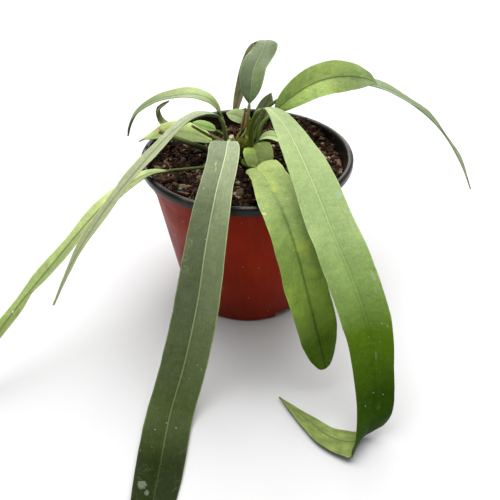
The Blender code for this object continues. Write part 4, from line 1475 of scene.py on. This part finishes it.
def blade_finish(name, look, spec, length, marks, specks):
    """The upper face: colour along the leaf with painted sheen and shade, painted light and shade
    on the halves and beside the rib, mottling, veins, pale margin and dried water.
    """
    width = spec.width
    make = Finish(name + "_upper", roughness=look.rough, specular=look.gloss)
    flat, from_rib, along = leaf_coordinates(make, width, length)
    # Colour along the leaf: its own greens with painted sheen where the face turns up to the light
    # and painted shade where it turns away, hangs or lies low.
    colour = make.ramp(along, look.tones)
    across = make.parts(make.coordinates("UV"))[0]
    # Painted light and shade: the right half is made lighter or darker than the left by
    # look.right, as light falls on the two halves.
    lean = make.between(across, 0.5 - look.soft, 0.5 + look.soft)
    right = make.between(along, spec.peak * 0.5, spec.peak * 1.3, *look.right)
    colour = make.tinted(1.0, colour, make.between(lean, 0.0, 1.0, 1.0, right))
    warm, deep = (1.55, 1.4, 1.1), (0.6, 0.62, 0.55)
    cloud = make.noise(flat, 0.11, detail=4.0, rough=0.6, twist=0.4)
    patch = make.noise(flat, 0.28, detail=4.0, rough=0.6, twist=0.8)
    fleck = make.noise(flat, 0.55, detail=5.0, rough=0.75)
    streak = make.noise(make.scaled(flat, (1.1, 0.09, 1.0)), 1.0, detail=4.0, rough=0.65)
    patterns = ((cloud, look.mottle * 1.4), (patch, 0.5), (fleck, 1.1), (streak, look.streaks))
    for pattern, strength in patterns:
        lighter = make.between(pattern, 0.5, 0.72, 0.0, 0.45 * strength)
        darker = make.between(pattern, 0.48, 0.28, 0.0, 0.45 * strength)
        colour = make.tinted(lighter, colour, warm)
        colour = make.tinted(darker, colour, deep)
    veins = side_veins(make, flat, from_rib, width)
    colour = make.tinted(make.times(veins, look.veins), colour, warm)
    # The rib line: where look.rib is above one it is the rib's own paler colour; where below one
    # it is painted shade in its groove.
    rib_light_and_groove_shade = make.between(along, 0.0, 0.5, *look.rib)
    near_rib = make.times(from_rib, width * 0.5)
    # Painted shade: a darker band beside the rib, in the crease of the blade.
    colour = make.tinted(make.between(near_rib, 1.9, 1.0, 0.0, 0.35), colour, deep)
    colour = make.tinted(make.between(near_rib, 0.75, 0.3, 0.0, 0.95), colour, rib_light_and_groove_shade)
    margin = make.between(make.minus(width * 0.5, near_rib), 1.0, 0.3, 0.0, 0.85)
    colour = make.tinted(margin, colour, (look.margin,) * 3)
    colour = marked(make, colour, flat, marks, width, length)
    film_noise = make.noise(flat, 0.16, detail=6.0, rough=0.75, twist=0.8)
    film = make.between(film_noise, 0.53, 0.75, 0.0, 0.16 * specks)
    colour = make.mix(film, colour, (0.34, 0.39, 0.28))
    for scale, chance, strength in ((0.3, 0.86, 0.75), (0.9, 0.88, 0.45)):
        dried = (0.62, 0.66, 0.56)
        colour = make.dotted(strength * specks, colour, dried, flat, scale, (0.16, 0.08), chance)
    relief = make.times(veins, -look.veins)
    relief = make.plus(relief, make.times(fleck, 0.5))
    relief = make.plus(relief, make.times(streak, 0.4))
    bent = make.bump(make.noise(flat, 0.16, detail=2.0), 0.0012, 0.5)
    bent = make.bump(relief, 0.00025, 0.6, bent)
    bent = make.bump(make.noise(flat, 3.5, detail=2.0), 0.00005, 0.5, bent)
    rough = make.between(cloud, 0.2, 0.8, look.rough - 0.05, look.rough + 0.06)
    return make.done(colour, bent, make.plus(rough, film))


def under_finish(name, look, width, length):
    """The under face: paler and duller, with its veins standing out."""
    make = Finish(name + "_under", roughness=look.rough + 0.1, specular=look.gloss)
    flat, from_rib, _ = leaf_coordinates(make, width, length)
    cloud = make.noise(flat, 0.12, detail=5.0, rough=0.6)
    veins = side_veins(make, flat, from_rib, width)
    deep = shaded(look.under, 0.72)
    colour = make.mix(make.between(cloud, 0.3, 0.7), deep, shaded(look.under, 1.25))
    colour = make.mix(make.times(veins, 0.35), colour, shaded(look.under, 0.6))
    near_rib = make.times(from_rib, width * 0.5)
    colour = make.mix(make.between(near_rib, 2.2, 0.8, 0.0, 0.5), colour, deep)
    fine = make.noise(flat, 1.4, detail=4.0)
    bent = make.bump(make.plus(make.times(veins, 0.4), fine), 0.0002, 0.5)
    rough = make.between(fine, 0.3, 0.7, look.rough + 0.04, look.rough + 0.16)
    return make.done(colour, bent, rough)


def rib_finish(name, look, joined):
    """The stalk and the rib that it runs into, with fine lengthwise streaks."""
    make = Finish(name + "_rib", roughness=0.45, specular=0.15)
    uv = make.coordinates("UV")
    around, along, _ = make.parts(uv)
    streak = make.noise(make.scaled(uv, (9.0, 14.0, 1.0)), 1.0, detail=4.0, rough=0.6)
    stops = [(0.0, look.foot or shaded(look.stalk, 0.6)), (joined * 0.9, look.stalk)]
    # The rib's top takes the upper face's tones with their painted sheen and shade; where look.rib
    # is below one it is darkened as painted shade in its groove.
    first, later = look.rib
    for place, tone in look.tones:
        light = first + (later - first) * min(1.0, place * 2.0)
        stops.append((joined + 0.02 + (0.98 - joined) * place, shaded(tone, light)))
    colour = make.ramp(along, stops)
    low = make.between(make.apart(around, 0.5), 0.12, 0.2)
    below = make.times(low, make.between(along, joined, joined + 0.03))
    colour = make.mix(below, colour, shaded(look.under, 0.85))
    dark = make.between(streak, 0.55, 0.35, 0.0, 0.35)
    colour = make.tinted(dark, colour, (0.5, 0.5, 0.4))
    foot = make.between(along, joined * 0.35, 0.0, 0.0, 0.55)
    brown = make.times(foot, make.between(streak, 0.45, 0.6))
    colour = make.mix(brown, colour, (0.11, 0.07, 0.025))
    bent = make.bump(streak, 0.00025, 0.5)
    return make.done(colour, bent, make.between(streak, 0.3, 0.7, 0.38, 0.56))


def build_leaf(name, spec, settings):
    """One leaf: stalk, rib and blade, closed and thin."""
    route = Route(route_points(spec, spec.stalk / 2), spec.heading)
    start = route.knots[spec.blade_from + 1]
    bm = bmesh.new()
    upper = blade_sheet(bm, spec, route, start, settings)
    bm.normal_update()
    kept = set(bm.verts)
    bmesh.ops.solidify(bm, geom=upper, thickness=BLADE_THICKNESS)
    for face in bm.faces:
        if not kept.intersection(face.verts):
            face.material_index = 1
    for face in rib_and_stalk(bm, spec, route, start, settings):
        face.material_index = 2
    look = LOOKS[spec.look]
    length = route.length - start
    marks = MARKS.get(name, ())
    finishes = (
        blade_finish(name, look, spec, length, marks, settings.specks),
        under_finish(name, look, spec.width, length),
        rib_finish(name, look, start / route.length),
    )
    make_grown(name, bm, finishes, sharp=55.0)


def stalk_finish(name, colours):
    """A bare stalk, its colour running from foot to end."""
    make = Finish(name + "_skin", roughness=0.5, specular=0.2)
    uv = make.coordinates("UV")
    along = make.parts(uv)[1]
    streak = make.noise(make.scaled(uv, (7.0, 5.0, 1.0)), 1.0, detail=5.0, rough=0.65)
    colour = make.ramp(along, list(zip((0.05, 0.5, 0.95), colours)))
    colour = make.mix(make.between(streak, 0.5, 0.7, 0.0, 0.5), colour, (0.13, 0.095, 0.035))
    colour = make.mix(make.between(streak, 0.45, 0.3, 0.0, 0.5), colour, (0.02, 0.025, 0.006))
    bent = make.bump(streak, 0.0004, 0.6)
    return make.done(colour, bent, make.between(streak, 0.3, 0.7, 0.42, 0.62))


def cut_finish(name):
    """The corky face of a cut."""
    make = Finish(name + "_cut", roughness=0.85, specular=0.2)
    cork = make.noise(make.coordinates(), 1400.0, detail=5.0, rough=0.7)
    colour = make.mix(make.between(cork, 0.35, 0.65), (0.3, 0.19, 0.09), (0.56, 0.44, 0.27))
    return make.done(colour, make.bump(cork, 0.0004, 0.7), make.between(cork, 0.3, 0.7, 0.8, 0.95))


def build_stalk(name, spec):
    """A bare stalk, cut or withered at its end."""
    thick, thin = spec.thickness
    route = Route(route_points(spec, thick / 2), spec.heading)
    count = max(8, round(route.length / 1.5))

    def ring_at(share):
        s = share * route.length
        place, _, side, normal = route.frame(s)
        knob = 0.1 * bell((share - 1.0) * route.length / 1.2)
        foot = FOOT_SWELL * bell(s / FOOT_RUN)
        bumps = 0.05 * noise.noise(Vector((s / 2.5, 3.0, spec.heading)))
        size = (thick + (thin - thick) * share) / 2 * (1.0 + knob + foot + bumps)
        return place, side, normal, size

    bm = bmesh.new()
    faces = tube(bm, STALK_SIDES, [i / count for i in range(count + 1)], ring_at)
    end = route.places[-1]
    bm.normal_update()
    for face in faces:
        if len(face.verts) > 4 and (face.calc_center_median() - end).length < thick:
            rim = bmesh.ops.inset_individual(bm, faces=[face], thickness=thin * 0.12, depth=-0.25)
            face.material_index = 1
            for ring in rim["faces"]:
                ring.material_index = 1
    finishes = (stalk_finish(name, STALK_COLOURS[spec.look]), cut_finish(name))
    make_grown(name, bm, finishes, sharp=45.0)


def crown_finish():
    """The rough olive-brown stem with its old leaf scars."""
    make = Finish("crown_bark", roughness=0.75, specular=0.03)
    place = make.coordinates()
    cloud = make.noise(place, 230.0, detail=5.0, rough=0.6)
    rings = make.noise(make.scaled(place, (90.0, 90.0, 700.0)), 1.0, detail=3.0)
    olives = (
        (0.3, (0.014, 0.018, 0.001)), (0.5, (0.036, 0.046, 0.002)), (0.7, (0.1, 0.085, 0.018)),
    )
    colour = make.ramp(cloud, olives)
    colour = make.mix(make.between(rings, 0.52, 0.68, 0.0, 0.7), colour, (0.085, 0.045, 0.018))
    bent = make.bump(make.plus(cloud, rings), 0.0008, 0.7)
    return make.done(colour, bent, make.between(cloud, 0.3, 0.7, 0.65, 0.85))


def build_crown():
    """The stem in the bark mix, with leaf scars."""
    profile = [(0.0, CROWN_TOP)]
    profile += arc((0.0, CROWN_SHOULDER), CROWN_RADIUS - 0.4, 75.0, 10.0, 8)
    profile = [(r, min(h, CROWN_TOP)) for r, h in profile]
    for i in range(CROWN_RINGS + 1):
        height = CROWN_SHOULDER - (CROWN_SHOULDER - CROWN_BASE - 1.0) * i / CROWN_RINGS
        profile.append((CROWN_RADIUS - 0.25 + 0.25 * math.cos(height * 2.6), height))
    profile += [(CROWN_RADIUS - 1.5, CROWN_BASE), (0.0, CROWN_BASE)]
    bm = spun(profile, CROWN_TURNS)
    for vert in bm.verts:
        away = math.hypot(vert.co.x, vert.co.y)
        if away > 1.0:
            shrink = 1.0 - 0.05 * (1.0 + noise.fractal(vert.co / 3.0, 1.0, 2.0, 3)) / 2
            vert.co.x *= shrink
            vert.co.y *= shrink
    bmesh.ops.translate(bm, vec=(*CROWN_AT, 0.0), verts=bm.verts)
    make_piece("crown_stem_grown", bm, (crown_finish(),), "crown_stem", "crown", sharp=60.0)


def add_camera():
    """The camera where the photograph was taken."""
    forward = Vector(CAMERA_FORWARD).normalized()
    right = forward.cross(Vector((0.0, 0.0, 1.0))).normalized()
    up = right.cross(forward)
    roll = math.radians(CAMERA_ROLL)
    level = right * math.cos(roll) + up * math.sin(roll)
    upright = up * math.cos(roll) - right * math.sin(roll)
    data = bpy.data.cameras.new("camera")
    data.lens = CAMERA_LENS
    data.sensor_width = SENSOR_WIDTH
    camera = placed("camera", data)
    turn = Matrix((level, upright, -forward)).transposed()
    camera.matrix_world = Matrix.Translation(CAMERA_AT) @ turn.to_4x4()
    bpy.context.scene.camera = camera


def add_soft_light(name, place, size, power):
    """A rectangular soft light that faces the plant."""
    data = bpy.data.lights.new(name, "AREA")
    data.shape = "RECTANGLE"
    data.size, data.size_y = size
    data.energy = power
    made = placed(name, data)
    made.location = place
    aim = Vector(LIGHT_TARGET) - Vector(place)
    made.rotation_euler = aim.to_track_quat("-Z", "Y").to_euler()


def build_stage(settings):
    """A plain pale floor, soft light and the camera."""
    bm = bmesh.new()
    bmesh.ops.create_grid(bm, x_segments=1, y_segments=1, size=FLOOR_HALF)
    floor = placed("floor", mesh_of("floor", bm))
    make = Finish("floor_paper", roughness=0.9, specular=0.1)
    floor.data.materials.append(make.done(tuple(settings.floor)))
    add_soft_light("overhead_light", (0.0, 0.25, 1.5), (1.6, 1.6), settings.overhead)
    add_soft_light("back_light", (0.1, 1.7, 0.95), (1.6, 0.9), settings.back)
    world = bpy.data.worlds.new("studio")
    world.use_nodes = True
    background = world.node_tree.nodes["Background"]
    background.inputs["Color"].default_value = SKY_COLOUR
    background.inputs["Strength"].default_value = settings.sky
    bpy.context.scene.world = world
    bpy.context.scene.view_settings.view_transform = "Standard"
    add_camera()


class ANTHURIUM_OT_stage(bpy.types.Operator):
    """Add the floor, the light and the camera"""

    bl_idname = "anthurium.stage"
    bl_label = "Add stage"

    def execute(self, context):
        build_stage(context.scene.anthurium_stage)
        return {"FINISHED"}


class ANTHURIUM_OT_pot(bpy.types.Operator):
    """Add the nursery pot"""

    bl_idname = "anthurium.pot"
    bl_label = "Add pot"

    def execute(self, context):
        build_pot(context.scene.anthurium_pot)
        return {"FINISHED"}


class ANTHURIUM_OT_soil(bpy.types.Operator):
    """Add the bark mix with its crumbs, beads and perlite"""

    bl_idname = "anthurium.soil"
    bl_label = "Add bark mix"

    def execute(self, context):
        build_soil(context.scene.anthurium_soil)
        return {"FINISHED"}


class ANTHURIUM_OT_crown(bpy.types.Operator):
    """Add the crown that carries the leaves"""

    bl_idname = "anthurium.crown"
    bl_label = "Add crown"

    def execute(self, context):
        build_crown()
        return {"FINISHED"}


class ANTHURIUM_OT_leaves(bpy.types.Operator):
    """Add every leaf"""

    bl_idname = "anthurium.leaves"
    bl_label = "Add leaves"

    def execute(self, context):
        for name, spec in LEAVES.items():
            build_leaf(name, spec, context.scene.anthurium_foliage)
        return {"FINISHED"}


class ANTHURIUM_OT_stalks(bpy.types.Operator):
    """Add the bare stalks"""

    bl_idname = "anthurium.stalks"
    bl_label = "Add bare stalks"

    def execute(self, context):
        for name, spec in STALKS.items():
            build_stalk(name, spec)
        return {"FINISHED"}


OPERATORS = (
    ANTHURIUM_OT_stage,
    ANTHURIUM_OT_pot,
    ANTHURIUM_OT_soil,
    ANTHURIUM_OT_crown,
    ANTHURIUM_OT_leaves,
    ANTHURIUM_OT_stalks,
)


class ANTHURIUM_PT_panel(bpy.types.Panel):
    """Operators and settings of the plant"""

    bl_idname = "ANTHURIUM_PT_panel"
    bl_label = "Anthurium"
    bl_space_type = "VIEW_3D"
    bl_region_type = "UI"
    bl_category = "Anthurium"

    def draw(self, context):
        for operator in OPERATORS:
            self.layout.operator(operator.bl_idname)
        for key, group in SETTINGS.items():
            box = self.layout.box()
            for name in group.__annotations__:
                box.prop(getattr(context.scene, key), name)


SETTINGS = {
    "anthurium_pot": PotSettings,
    "anthurium_soil": SoilSettings,
    "anthurium_foliage": FoliageSettings,
    "anthurium_stage": StageSettings,
}
CLASSES = (*SETTINGS.values(), *OPERATORS, ANTHURIUM_PT_panel)


def register():
    """Register the classes and hang the settings on the scene."""
    for cls in CLASSES:
        bpy.utils.register_class(cls)
    for key, group in SETTINGS.items():
        setattr(bpy.types.Scene, key, bpy.props.PointerProperty(type=group))


def unregister():
    """Take the settings and the classes away again."""
    for key in SETTINGS:
        delattr(bpy.types.Scene, key)
    for cls in reversed(CLASSES):
        bpy.utils.unregister_class(cls)


def main():
    """Build everything."""
    register()
    bpy.ops.anthurium.stage()
    bpy.ops.anthurium.pot()
    bpy.ops.anthurium.soil()
    bpy.ops.anthurium.crown()
    bpy.ops.anthurium.leaves()
    bpy.ops.anthurium.stalks()


if __name__ == "__main__":
    main()
